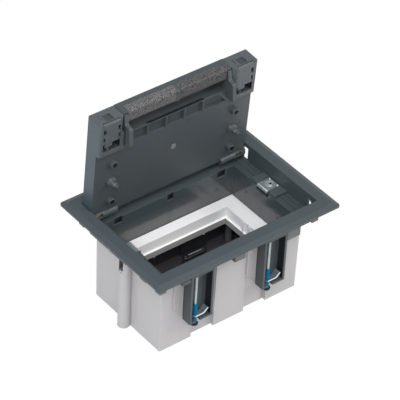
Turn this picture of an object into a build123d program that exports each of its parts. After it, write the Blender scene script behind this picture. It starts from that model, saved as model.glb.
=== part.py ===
from build123d import *
import os
from math import atan2, cos, degrees, hypot, radians, sin, tan

# Floor socket box for a raised floor, lid open. Millimetres, +Z up, X along the long side,
# +Y towards the hinges. The origin is under the middle of the rim, on the box's underside.

# Rim round the opening that the lid closes
rim_side = 14.3
rim_front = 15.7
rim_back = 12.8
rim_edge = 1.7
rim_crown = 3.5
rim_slope = 5.0
rim_corner = 3.0
rim_crest_corner = 1.0

# Tray under the rim, with a ledge all round the well
floor_height = 97.0
ledge_side = 14.4
ledge_front = 14.1
ledge_back = 17.0
tray_drop = 14.5
tray_wall = 1.8
ledge_thickness = 1.8
tray_tab_drop = 2.4
tray_tabs = ((30.0, 26.0), (2.5, 23.0), (-33.5, 9.0))
corner_tab = 7.0
lug_length = 11.5
lug_width = 6.0
lug_drop = 5.7
skirt_length = 14.2
skirt_drop = 9.3
groove_width = 1.2
groove_depth = 0.7
groove_end = 4.0
inner_groove = 6.0
outer_groove = 3.0

# Windows in the tray's side walls, a slanted one at the front and a slot before the hinge
front_window_length = 11.4
front_window_foot = 3.0
front_window_head = 0.5
back_window_width = 6.4
back_window_inset = 12.4
back_window_head = 1.0

# Well that hangs under the ledge and holds the module frame
well_length = 142.6
well_depth = 83.6
well_wall = 1.5
well_drop = 66.5
well_lip = 1.5
notch_width = 9.0
middle_notch_width = 7.0
notch_drop = 7.0
cheek_notch_gap = 0.4
cheek_notch_reach = 3.2
cheek_notch_drop = 6.8
bump_length = 7.5
bump_width = 1.6
bump_height = 3.0
bump_setback = 2.0
bump_inset = 4.2

# White module frame
module_drop = 47.4
module_gap = 0.3
module_opening_length = 111.8
module_opening_depth = 60.0
module_flange_thickness = 2.0
module_wall = 1.8
module_step_drop = 11.0
module_step = 2.0
snap_rib_width = 1.6
snap_rib_reach = 1.8
snap_rib_offset = 4.0

# Grey lower box, which slides on the outside of the well
box_gap = 2.2
box_gap_depth = 1.9
box_wall = 2.2
box_floor = 2.5
box_draft = 0.6
box_corner = 0.5
box_top_gap = 0.5
recess_inner = 17.0
recess_width = 25.0
recess_clearance = 0.3
pocket_depth = 4.4
pocket_height = 27.0
side_groove_width = 7.0
side_groove_depth = 0.9
depth_travel = 20.0

# Levelling screws in round columns in the middle of the short sides
level_screw_inset = 6.2
column_radius = 5.7
column_offset = 0.8
level_shank_radius = 2.0
level_bore_clearance = 0.05
level_screw_reach = 4.6
level_head_radius = 2.9
level_head_height = 1.6
level_head_chamfer = 0.4
level_socket = 1.5
level_socket_depth = 1.1
column_window_width = 5.6
column_window_drop = 34.5
level_nut_height = 2.2
level_nut_wall = 0.5
level_nut_gap = 0.1
screw_hole_gap = 0.2

# Saddles and zinc clip plates on the side ledges
saddle_length = 33.0
saddle_height = 3.2
saddle_floor = 1.4
saddle_inset = 0.6
saddle_wall_gap = 0.2
saddle_chamfer = 0.5
clip_length = 14.4
clip_thickness = 1.2
clip_bend = 1.0
clip_lip_drop = 6.0
clip_setback = 0.8
clip_hole_gap = 0.15
clip_gap = 0.1

# Fixing columns inside the box
fixing_radius = 3.6
fixing_bore = 1.4
fixing_bore_depth = 12.0
fixing_inset = 9.5
fixing_gap = 4.0

# Claw clamps, two at the front and two at the back
clamp_pitch = 81.0
channel_width = 25.0
channel_wall = 2.2
channel_back = 1.8
channel_bottom = 2.0
channel_roof = 2.0
channel_drop = 70.0
channel_gap = 0.3
clamp_offset = 3.6
clamp_screw_inset = 4.9
clamp_shank_radius = 1.5
clamp_head_radius = 2.7
clamp_head_height = 2.2
clamp_head_chamfer = 0.7
clamp_cross_length = 3.4
clamp_cross_width = 0.8
clamp_cross_depth = 1.2
clamp_running = 0.05
nut_radius = 2.25
nut_way_gap = 0.5
nut_top_gap = 0.3
nut_groove = 0.3
groove_gap = 0.1
nut_seat = 8.4
disc_radius = 3.5
disc_height = 1.3
disc_gap = 0.1
claw_thickness = 1.4
claw_half_width = 3.1
claw_flat = 8.5
claw_rise = 4.5
claw_reach = 13.0
claw_tip = 0.9
claw_lift = 1.8
claw_running = 0.05
clamp_travel = 34.0

# Lid, drawn about its hinge axis as if closed, and turned up by the open angle
hinge_inset = 7.5
hinge_drop = 3.6
open_angle = 86.43
past_open = 6.0
slot_overrun = 18.0
lid_front_gap = 0.7
lid_side_gap = 0.9
lid_thickness = 13.6
carpet_recess = 5.0
carpet_border = 3.0
plate_thickness = 1.0
plate_gap = 0.3
boss_inset = 18.6
boss_radius = 3.5
boss_hole = 1.7
boss_height = 4.2
boss_hole_extra = 1.0
boss_rear = 12.4
boss_front = 54.8
stud_reach = 34.0
stud_steps = ((4.3, 2.4), (2.6, 7.6), (1.6, 10.0))
barrel_radius = 4.0
barrel_back = 2.4
barrel_below = 5.0
barrel_length = 27.3
barrel_window = 7.0
barrel_window_depth = 3.6
barrel_window_inset = 8.0
barrel_window_shift = 1.0
pin_radius = 1.4
pin_bore_depth = 22.8
pin_inset = 0.3
pin_slot_clearance = 0.1

# Cable outlet at the lid's front edge, with its flap and foam
flap_depth = 18.2
flap_thickness = 3.0
flap_lip = 1.8
flap_leg = 5.2
flap_side_gap = 0.3
flap_back_gap = 0.4
flap_pin_radius = 1.1
flap_pin_length = 1.3
flap_pin_end = 0.2
flap_pin_clearance = 0.08
foam_depth = 12.0
foam_gap = 0.2
divider_width = 5.6
divider_hook = 3.0
lip_bottom = 1.5
outlet_back = 24.0
recess_wall = 2.0
trough_end_gap = 8.0
trough_flare = 10.0
trough_width = 11.0
trough_depth = 2.2
ridge_width = 1.6
gusset_width = 1.6
gusset_pitch = 20.0
gusset_count = 4

# Cheeks at both ends of the outlet, deep where they reach down into the well
cheek_inset = 2.6
cheek_width = 4.0
cheek_setback = 2.4
cheek_length = 27.1
cheek_front_drop = 1.1
cheek_shoulder = 6.9
cheek_shoulder_drop = 2.5
cheek_knee = 11.9
cheek_knee_drop = 9.5
cheek_rear_drop = 11.5

# Latches in the lid's front corners
latch_block_width = 25.9
latch_block_depth = 35.8
latch_block_drop = 4.1
latch_block_round = 1.6
latch_front_setback = 0.5
latch_end_wall = 4.3
latch_centre = 12.9
latch_width = 17.6
latch_thickness = 2.0
latch_roof_gap = 0.8
latch_length = 22.0
latch_round = 1.6
latch_gap = 0.2
latch_flush = 0.2
latch_travel = 2.4
latch_tab_width = 8.0
latch_tab_length = 4.4
latch_tab_offset = -3.0
latch_tab_step = 0.5
latch_slots = ((2.6, 5.4, 9.1), (1.8, 4.9, 17.4))
latch_slot_depth = 7.0
latch_slot_sides = {"left": (-1, 1), "right": (1,)}
grip_pocket_height = 9.0
key_recess = 8.0
key_recess_depth = 1.5
key_recess_z = -2.9
key_marks = {"left": ((-6.3, 1.7, 1.2), (-6.3, -2.3, 1.2)), "right": ((-6.9, -1.1, 5.6),)}
key_mark_width = 1.0
relief_width = 3.0
relief_height = 3.4
relief_length = 17.0
latch_pocket_gap = 0.5

# Cable clamp on the box floor
cable_bar_x = 18.0
cable_bar_y = 25.7
cable_bar_length = 26.0
cable_bar_width = 6.0
cable_bar_thickness = 3.0
cable_bar_height = 14.0
cable_post_radius = 3.0
cable_bar_chamfer = 0.6
cable_screw_radius = 1.25
cable_screw_gap = 0.15
cable_screw_grip = 7.0
cable_bore_depth = 8.0
cable_screw_head = 2.4
cable_screw_head_height = 1.8
cable_screw_chamfer = 0.6
cable_screw_slot_width = 0.7
cable_screw_slot_depth = 0.9

# Places worked out from the sizes above
opening_length = well_length + 2 * ledge_side
front_y = -(well_depth / 2 + ledge_front)
back_y = well_depth / 2 + ledge_back
opening_depth = back_y - front_y
opening_y = (front_y + back_y) / 2
side_x = opening_length / 2
rim_length = opening_length + 2 * rim_side
rim_depth = opening_depth + rim_front + rim_back
rim_y = opening_y + (rim_back - rim_front) / 2
floor_z = floor_height
crown_z = floor_z + rim_crown
ledge_z = floor_z - tray_drop
tray_bottom_z = ledge_z - ledge_thickness
well_bottom_z = floor_z - well_drop
module_top_z = floor_z - module_drop
module_bottom_z = well_bottom_z + well_lip
tray_outer_x = side_x + tray_wall
tray_front_y = front_y - tray_wall
tray_back_y = back_y + tray_wall
well_outer_x = well_length / 2 + well_wall
well_outer_y = well_depth / 2 + well_wall
box_inner_x = well_outer_x + box_gap
box_inner_y = well_outer_y + box_gap_depth
box_outer_x = box_inner_x + box_wall
box_outer_y = box_inner_y + box_wall
box_top_z = tray_bottom_z - box_top_gap
level_x = side_x - level_screw_inset
hinge_y = back_y - hinge_inset
hinge_z = floor_z - hinge_drop
lid_top = crown_z - hinge_z
lid_bottom = lid_top - lid_thickness
lid_half = side_x - lid_side_gap
lid_front = -(hinge_y - front_y - lid_front_gap)
flap_pin_y = lid_front + flap_depth
flap_pin_z = lid_top - flap_thickness / 2
flap_under = lid_top - flap_thickness

block_inner = lid_half - latch_block_width
flap_half = block_inner - flap_side_gap
cheek_x = flap_half - cheek_inset
outlet_half = cheek_x - cheek_width / 2
boss_x = lid_half - boss_inset
barrel_start = lid_half - barrel_length
pin_start = lid_half - pin_bore_depth
latch_x = lid_half - latch_centre
block_bottom = lid_bottom - latch_block_drop
recess_depth = box_gap_depth - recess_clearance

# The lid's own planes: X along the hinge, Y towards the hinge side, Z out of its top
lean = radians(90 - open_angle)
lid_y_dir = (0, sin(lean), -cos(lean))
lid_z_dir = (0, cos(lean), sin(lean))
lid_plane = Plane(origin=(0, hinge_y, hinge_z), x_dir=(1, 0, 0), z_dir=lid_z_dir)


def lid_level(height):
    """Plane parallel to the lid's top, at a height above the hinge axis."""
    return lid_plane.offset(height)


def lid_section(x):
    """Plane across the hinge axis, with the lid's depth and height as its axes."""
    return Plane(origin=(x, hinge_y, hinge_z), x_dir=lid_y_dir, z_dir=(1, 0, 0))


def cross_section(x):
    """Vertical plane across the rim at x, with Y and Z as its axes."""
    return Plane(origin=(x, 0, 0), x_dir=(0, 1, 0), z_dir=(1, 0, 0))


def save(piece, name):
    """Label a finished piece and write it to its own file."""
    piece.part.label = name
    export_step(piece.part, f"parts/{name}.step")


os.makedirs("parts", exist_ok=True)
corners = [(-1, -1), (1, -1), (1, 1), (-1, 1)]
post_offset = (cable_bar_length - cable_bar_width) / 2
cable_posts = [(cable_bar_x - post_offset, cable_bar_y), (cable_bar_x + post_offset, cable_bar_y)]
sides = {"left": -1, "right": 1}

# Each clamp stands on a plane at the tray's outer wall, whose Y points into the box
clamps = {
    "front_left": Plane(origin=(-clamp_pitch / 2, tray_front_y, 0), x_dir=(1, 0, 0), z_dir=(0, 0, 1)),
    "front_right": Plane(origin=(clamp_pitch / 2, tray_front_y, 0), x_dir=(1, 0, 0), z_dir=(0, 0, 1)),
    "back_left": Plane(origin=(-clamp_pitch / 2, tray_back_y, 0), x_dir=(-1, 0, 0), z_dir=(0, 0, 1)),
    "back_right": Plane(origin=(clamp_pitch / 2, tray_back_y, 0), x_dir=(-1, 0, 0), z_dir=(0, 0, 1)),
}

# Floor frame: one moulding with the rim, the tray, the ledge and the well
lid_swing = open_angle + past_open
slot_radius = hypot(barrel_back, barrel_below)
slot_closed = degrees(atan2(-barrel_below, barrel_back))
slot_width = 2 * (pin_radius + pin_slot_clearance)
wall_x = tray_outer_x - tray_wall / 2
skirt_x = (clamp_pitch + channel_width + skirt_length) / 2 + channel_gap
latch_pocket_height = latch_thickness + 2 * latch_pocket_gap
with BuildPart() as floor_frame:
    with BuildSketch(Plane.XY.offset(floor_z)):
        with Locations((0, rim_y)):
            RectangleRounded(rim_length, rim_depth, rim_corner)
    extrude(amount=rim_edge)
    with BuildSketch(Plane.XY.offset(floor_z + rim_edge)):
        with Locations((0, rim_y)):
            RectangleRounded(rim_length, rim_depth, rim_corner)
    with BuildSketch(Plane.XY.offset(crown_z)):
        with Locations((0, rim_y)):
            RectangleRounded(rim_length - 2 * rim_slope, rim_depth - 2 * rim_slope, rim_crest_corner)
    loft()
    with BuildSketch(Plane.XY.offset(tray_bottom_z)):
        with Locations((0, opening_y)):
            Rectangle(opening_length + 2 * tray_wall, opening_depth + 2 * tray_wall)
    extrude(until=Until.NEXT)
    with BuildSketch(Plane.XY.offset(well_bottom_z)):
        Rectangle(2 * well_outer_x, 2 * well_outer_y)
    extrude(amount=tray_bottom_z - well_bottom_z)
    # Tabs under the tray's wall, seen below the rim from outside
    with BuildSketch(Plane.XY.offset(tray_bottom_z - tray_tab_drop)):
        for sx in (-1, 1):
            for y_mid, y_length in (*tray_tabs, (back_y - corner_tab / 2, corner_tab)):
                with Locations((sx * wall_x, y_mid)):
                    Rectangle(tray_wall, y_length)
            with Locations((sx * (tray_outer_x - corner_tab / 2), tray_front_y + tray_wall / 2)):
                Rectangle(corner_tab, tray_wall)
            with Locations((sx * wall_x, tray_front_y + corner_tab / 2)):
                Rectangle(tray_wall, corner_tab)
    extrude(amount=tray_tab_drop)
    # Lug under the front ledge between the two clamps, and the skirts beside two of the clamps
    with BuildSketch(Plane.XY.offset(tray_bottom_z - lug_drop)):
        with Locations((0, tray_front_y + lug_width / 2)):
            Rectangle(lug_length, lug_width)
    extrude(amount=lug_drop)
    with BuildSketch(Plane.XY.offset(tray_bottom_z - skirt_drop)):
        with Locations((skirt_x, tray_front_y + tray_wall / 2), (-skirt_x, tray_back_y - tray_wall / 2)):
            Rectangle(skirt_length, tray_wall)
    extrude(amount=skirt_drop)
    # Opening, well and the lip that carries the module frame
    with BuildSketch(Plane.XY.offset(ledge_z)):
        with Locations((0, opening_y)):
            Rectangle(opening_length, opening_depth)
    extrude(amount=crown_z - ledge_z, mode=Mode.SUBTRACT)
    with BuildSketch(Plane.XY.offset(module_bottom_z)):
        Rectangle(well_length, well_depth)
    extrude(amount=ledge_z - module_bottom_z, mode=Mode.SUBTRACT)
    with BuildSketch(Plane.XY.offset(well_bottom_z)):
        Rectangle(well_length - 2 * well_lip, well_depth - 2 * well_lip)
    extrude(amount=well_lip, mode=Mode.SUBTRACT)
    # Windows and arc slots in the side walls for the lid's hinge pins
    front_window = front_y + front_window_length
    back_window = back_y - back_window_inset
    for sx in (-1, 1):
        with BuildSketch(cross_section(sx * side_x)):
            with BuildLine():
                Polyline((front_y, ledge_z), (front_y, ledge_z + front_window_foot),
                         (front_window, floor_z - front_window_head), (front_window, ledge_z), close=True)
            make_face()
            with BuildLine():
                Polyline((back_window - back_window_width, ledge_z),
                         (back_window - back_window_width, floor_z - back_window_head),
                         (back_window, floor_z - back_window_head), (back_window, ledge_z), close=True)
            make_face()
        extrude(amount=sx * tray_wall, mode=Mode.SUBTRACT)
        with BuildSketch(cross_section(sx * side_x)):
            with BuildLine():
                CenterArc((hinge_y, hinge_z), slot_radius, slot_closed + slot_overrun,
                          -lid_swing - 2 * slot_overrun)
            trace(line_width=slot_width)
        extrude(amount=sx * tray_wall, mode=Mode.SUBTRACT)
    # Notches in the well's back wall, one in front of each hinge barrel and one in the middle
    with BuildSketch(Plane.XZ.offset(-well_outer_y)):
        with Locations((0, ledge_z)):
            Rectangle(middle_notch_width, 2 * notch_drop)
        with Locations((-barrel_start, ledge_z), (barrel_start, ledge_z)):
            Rectangle(notch_width, 2 * notch_drop)
    extrude(amount=well_wall, mode=Mode.SUBTRACT)
    # Notches in the front ledge and the well's front wall, which the lid's cheeks drop into
    with BuildSketch(Plane.XY.offset(ledge_z - cheek_notch_drop)):
        for sx in (-1, 1):
            with Locations((sx * cheek_x, -(well_depth + cheek_notch_reach) / 2)):
                Rectangle(cheek_width + 2 * cheek_notch_gap, cheek_notch_reach)
    extrude(amount=cheek_notch_drop, mode=Mode.SUBTRACT)
    # Two grooves along each side ledge
    with BuildSketch(Plane.XY.offset(ledge_z - groove_depth)):
        for sx in (-1, 1):
            for ledge_x in (well_length / 2 + inner_groove, side_x - outer_groove):
                with Locations((sx * ledge_x, opening_y)):
                    Rectangle(groove_width, opening_depth - 2 * groove_end)
    extrude(amount=groove_depth, mode=Mode.SUBTRACT)
    # Pockets in the front wall for the noses of the latches
    with BuildSketch(Plane.XZ.offset(-tray_front_y)):
        for sx in (-1, 1):
            with Locations((sx * latch_x, hinge_z + block_bottom + latch_thickness / 2)):
                Rectangle(latch_width + 2 * latch_pocket_gap, latch_pocket_height)
    extrude(amount=-tray_wall, mode=Mode.SUBTRACT)
    # Holes in the ledge for the clamp screws and the levelling screws
    for plane in clamps.values():
        with BuildSketch(plane.offset(tray_bottom_z)):
            with Locations((-clamp_offset, clamp_screw_inset)):
                Circle(clamp_shank_radius + clamp_running)
        extrude(amount=ledge_thickness, mode=Mode.SUBTRACT)
    with BuildSketch(Plane.XY.offset(tray_bottom_z)):
        with Locations((-level_x, 0), (level_x, 0)):
            Circle(level_shank_radius + screw_hole_gap)
    extrude(amount=ledge_thickness, mode=Mode.SUBTRACT)
    # Stops for the cable flap on the front ledge
    bump_x = outlet_half - bump_inset
    bump_y = -well_depth / 2 - bump_setback
    with BuildSketch(Plane.XY.offset(ledge_z)):
        with Locations((-bump_x, bump_y), (bump_x, bump_y)):
            Rectangle(bump_length, bump_width)
    extrude(amount=bump_height)
save(floor_frame, "floor_frame")

# Module frame: white moulding with a flange, an outer skirt and a stepped opening
module_outer_length = well_length - 2 * module_gap
module_outer_depth = well_depth - 2 * module_gap
module_height = module_top_z - module_bottom_z
step_z = module_top_z - module_step_drop
with BuildPart() as module_frame:
    with BuildSketch(Plane.XY.offset(module_bottom_z)):
        Rectangle(module_outer_length, module_outer_depth)
    extrude(amount=module_height)
    with BuildSketch(Plane.XY.offset(module_bottom_z)):
        Rectangle(module_outer_length - 2 * module_wall, module_outer_depth - 2 * module_wall)
        Rectangle(module_opening_length + 2 * module_wall, module_opening_depth + 2 * module_wall,
                  mode=Mode.SUBTRACT)
    extrude(amount=module_height - module_flange_thickness, mode=Mode.SUBTRACT)
    with BuildSketch(Plane.XY.offset(step_z)):
        Rectangle(module_opening_length, module_opening_depth)
    extrude(amount=module_step_drop, mode=Mode.SUBTRACT)
    with BuildSketch(Plane.XY.offset(module_bottom_z)):
        Rectangle(module_opening_length - 2 * module_step, module_opening_depth - 2 * module_step)
    extrude(amount=module_height, mode=Mode.SUBTRACT)
    with BuildSketch(Plane.XY.offset(step_z)):
        for sx in (-1, 1):
            for sy in (-1, 1):
                with Locations((sx * (module_opening_length - snap_rib_reach) / 2, sy * snap_rib_offset)):
                    Rectangle(snap_rib_reach, snap_rib_width)
    extrude(amount=module_step_drop)
    top_rim = module_frame.edges().filter_by(GeomType.LINE).group_by(Axis.Z)[-1]
    chamfer(top_rim.sort_by(Axis.Y)[-1], length=0.5)
save(module_frame, "module_frame")

# Lower box: grey moulding with drafted walls, conduit pockets, screw columns and fixing columns
draft_shrink = box_top_z * tan(radians(box_draft))
recess_x = recess_inner + recess_width / 2
arch_radius = recess_width / 2
arch_z = pocket_height - arch_radius
fixing_x = box_inner_x - fixing_inset
fixing_y = box_inner_y - fixing_inset
fixing_top_z = well_bottom_z - fixing_gap
level_top_z = ledge_z + saddle_floor
level_nut_z = floor_z - column_window_drop
level_end_z = level_nut_z - depth_travel - level_screw_reach
column_x = level_x + column_offset
over = 2.0
with BuildPart() as lower_box:
    with BuildSketch():
        RectangleRounded(2 * (box_outer_x - draft_shrink), 2 * (box_outer_y - draft_shrink), box_corner)
    extrude(amount=box_top_z, taper=-box_draft)
    with BuildSketch(Plane.XY.offset(box_floor)):
        Rectangle(2 * (box_inner_x - draft_shrink), 2 * (box_inner_y - draft_shrink))
    extrude(amount=box_top_z - box_floor, taper=-box_draft, mode=Mode.SUBTRACT)
    # Inner faces of the recesses and of the arched conduit pockets
    with BuildSketch():
        for sx, sy in corners:
            with Locations((sx * recess_x, sy * (box_inner_y - recess_depth / 2))):
                Rectangle(recess_width + 2 * box_wall, recess_depth)
    extrude(amount=box_top_z)
    for sy in (-1, 1):
        with BuildSketch(Plane.XZ.offset(-sy * (box_outer_y - pocket_depth - box_wall))):
            for sx in (-1, 1):
                with Locations((sx * recess_x, arch_z / 2)):
                    Rectangle(recess_width + 2 * box_wall, arch_z)
                with Locations((sx * recess_x, arch_z)):
                    Circle(arch_radius + box_wall)
        extrude(amount=-sy * pocket_depth)
    split(bisect_by=Plane.XY, keep=Keep.TOP)
    # Round columns for the levelling screws, and the fixing columns in the corners
    with BuildSketch():
        with Locations((-column_x, 0), (column_x, 0)):
            Circle(column_radius)
    extrude(amount=box_top_z)
    with BuildSketch(Plane.XY.offset(box_floor)):
        with Locations(*[(sx * fixing_x, sy * fixing_y) for sx, sy in corners]):
            Circle(fixing_radius)
    extrude(amount=fixing_top_z - box_floor)
    with BuildSketch(Plane.XY.offset(fixing_top_z)):
        with Locations(*[(sx * fixing_x, sy * fixing_y) for sx, sy in corners]):
            Circle(fixing_bore)
    extrude(amount=-fixing_bore_depth, mode=Mode.SUBTRACT)
    # Posts for the cable clamp
    with BuildSketch(Plane.XY.offset(box_floor)):
        with Locations(*cable_posts):
            Circle(cable_post_radius)
    extrude(amount=cable_bar_height - box_floor)
    with BuildSketch(Plane.XY.offset(cable_bar_height)):
        with Locations(*cable_posts):
            Circle(cable_screw_radius)
    extrude(amount=-cable_bore_depth, mode=Mode.SUBTRACT)
    # Shallow recesses beside the clamps and deep arched pockets below them
    with BuildSketch(Plane.XY.offset(arch_z)):
        for sx, sy in corners:
            with Locations((sx * recess_x, sy * (box_outer_y - (recess_depth - over) / 2))):
                Rectangle(recess_width, recess_depth + over)
    extrude(amount=box_top_z, mode=Mode.SUBTRACT)
    for sy in (-1, 1):
        with BuildSketch(Plane.XZ.offset(-sy * (box_outer_y - pocket_depth))):
            for sx in (-1, 1):
                with Locations((sx * recess_x, arch_z / 2)):
                    Rectangle(recess_width, arch_z)
                with Locations((sx * recess_x, arch_z)):
                    Circle(arch_radius)
        extrude(amount=-sy * (pocket_depth + over), mode=Mode.SUBTRACT)
    # Grooves beside the round columns
    with BuildSketch():
        for sx, sy in corners:
            groove_y = sy * (column_radius + side_groove_width / 2)
            with Locations((sx * (box_outer_x - (side_groove_depth - over) / 2), groove_y)):
                Rectangle(side_groove_depth + over, side_groove_width)
    extrude(amount=box_top_z, mode=Mode.SUBTRACT)
    # Screw bores, nut pockets and the windows that show the screws and nuts
    with BuildSketch(Plane.XY.offset(box_top_z)):
        with Locations((-level_x, 0), (level_x, 0)):
            Circle(level_shank_radius + level_bore_clearance)
    extrude(amount=level_end_z - over - box_top_z, mode=Mode.SUBTRACT)
    with BuildSketch(Plane.XY.offset(level_nut_z)):
        with Locations((-column_x, 0), (column_x, 0)):
            Circle(column_radius - level_nut_wall + level_nut_gap)
    extrude(amount=level_nut_height, mode=Mode.SUBTRACT)
    with BuildSketch(Plane.XY.offset(level_nut_z)):
        for sx in (-1, 1):
            with Locations((sx * (level_x + (column_radius + over) / 2), 0)):
                Rectangle(column_radius + over, column_window_width)
    extrude(amount=box_top_z, mode=Mode.SUBTRACT)
save(lower_box, "lower_box")

# Levelling nuts: two round zinc nuts caught in the columns
with BuildPart() as level_nuts:
    with BuildSketch(Plane.XY.offset(level_nut_z)):
        with Locations((-column_x, 0), (column_x, 0)):
            Circle(column_radius - level_nut_wall)
        with Locations((-level_x, 0), (level_x, 0)):
            Circle(level_shank_radius + level_bore_clearance, mode=Mode.SUBTRACT)
    extrude(amount=level_nut_height)
save(level_nuts, "level_nuts")

# Cable clamp: a moulded bar on two posts, held by two screws
cable_head_z = cable_bar_height + cable_bar_thickness
with BuildPart() as cable_clamp_bar:
    with BuildSketch(Plane.XY.offset(cable_bar_height)):
        with Locations((cable_bar_x, cable_bar_y)):
            SlotOverall(cable_bar_length, cable_bar_width)
        with Locations(*cable_posts):
            Circle(cable_screw_radius + cable_screw_gap, mode=Mode.SUBTRACT)
    extrude(amount=cable_bar_thickness)
    chamfer(cable_clamp_bar.faces().sort_by(Axis.Z)[-1].outer_wire().edges(), length=cable_bar_chamfer)
save(cable_clamp_bar, "cable_clamp_bar")

with BuildPart() as cable_clamp_screws:
    with BuildSketch(Plane.XY.offset(cable_head_z)):
        with Locations(*cable_posts):
            Circle(cable_screw_head)
    extrude(amount=cable_screw_head_height)
    chamfer(cable_clamp_screws.edges().group_by(Axis.Z)[-1], length=cable_screw_chamfer)
    with BuildSketch(Plane.XY.offset(cable_head_z)):
        with Locations(*cable_posts):
            Circle(cable_screw_radius)
    extrude(amount=-cable_bar_thickness - cable_screw_grip)
    with BuildSketch(Plane.XY.offset(cable_head_z + cable_screw_head_height)):
        with Locations(*cable_posts):
            Rectangle(cable_screw_slot_width, 2 * cable_screw_head)
    extrude(amount=-cable_screw_slot_depth, mode=Mode.SUBTRACT)
save(cable_clamp_screws, "cable_clamp_screws")

# Saddles, zinc clip plates and levelling screws on the side ledges
saddle_inner = well_length / 2 + saddle_inset
saddle_outer = side_x - saddle_wall_gap
saddle_width = saddle_outer - saddle_inner
saddle_mid = (saddle_inner + saddle_outer) / 2
plate_z = ledge_z + saddle_floor
for side, sx in sides.items():
    with BuildPart() as saddle:
        with BuildSketch(Plane.XY.offset(ledge_z)):
            with Locations((sx * saddle_mid, 0)):
                Rectangle(saddle_width, saddle_length)
        extrude(amount=saddle_height)
        chamfer(saddle.edges().group_by(Axis.Z)[-1], length=saddle_chamfer)
        with BuildSketch(Plane.XY.offset(plate_z)):
            with Locations((sx * saddle_mid, 0)):
                Rectangle(saddle_width, clip_length + 2 * clip_gap)
        extrude(amount=saddle_height, mode=Mode.SUBTRACT)
        with BuildSketch(Plane.XY.offset(ledge_z)):
            with Locations((sx * level_x, 0)):
                Circle(level_shank_radius + screw_hole_gap)
        extrude(amount=saddle_height, mode=Mode.SUBTRACT)
    save(saddle, f"saddle_{side}")

    clip_inner = well_length / 2 - clip_gap
    clip_outer = saddle_outer - clip_setback
    clip_top = plate_z + clip_thickness
    with BuildPart() as clip_plate:
        with BuildSketch(Plane.XZ.offset(-clip_length / 2)):
            with BuildLine():
                Polyline((sx * clip_outer, plate_z), (sx * clip_outer, clip_top),
                         (sx * (clip_inner - clip_thickness), clip_top),
                         (sx * (clip_inner - clip_thickness), clip_top - clip_lip_drop),
                         (sx * clip_inner, clip_top - clip_lip_drop), (sx * clip_inner, plate_z), close=True)
            make_face()
        extrude(amount=clip_length)
        fillet(clip_plate.edges().filter_by(Axis.Y).group_by(Axis.Z)[-1].sort_by(
            lambda e: abs(e.center().X))[0], radius=clip_bend)
        with BuildSketch(Plane.XY.offset(plate_z)):
            with Locations((sx * level_x, 0)):
                Circle(level_head_radius + clip_hole_gap)
        extrude(amount=clip_thickness, mode=Mode.SUBTRACT)
    save(clip_plate, f"clip_plate_{side}")

    with BuildPart() as level_screw:
        with BuildSketch(Plane.XY.offset(level_top_z)):
            with Locations((sx * level_x, 0)):
                Circle(level_head_radius)
        extrude(amount=level_head_height)
        chamfer(level_screw.edges().group_by(Axis.Z)[-1], length=level_head_chamfer)
        with BuildSketch(Plane.XY.offset(level_end_z)):
            with Locations((sx * level_x, 0)):
                Circle(level_shank_radius)
        extrude(amount=level_top_z - level_end_z)
        with BuildSketch(Plane.XY.offset(level_top_z + level_head_height)):
            with Locations((sx * level_x, 0)):
                RegularPolygon(level_socket, 6)
        extrude(amount=-level_socket_depth, mode=Mode.SUBTRACT)
    save(level_screw, f"level_screw_{side}")

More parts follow.
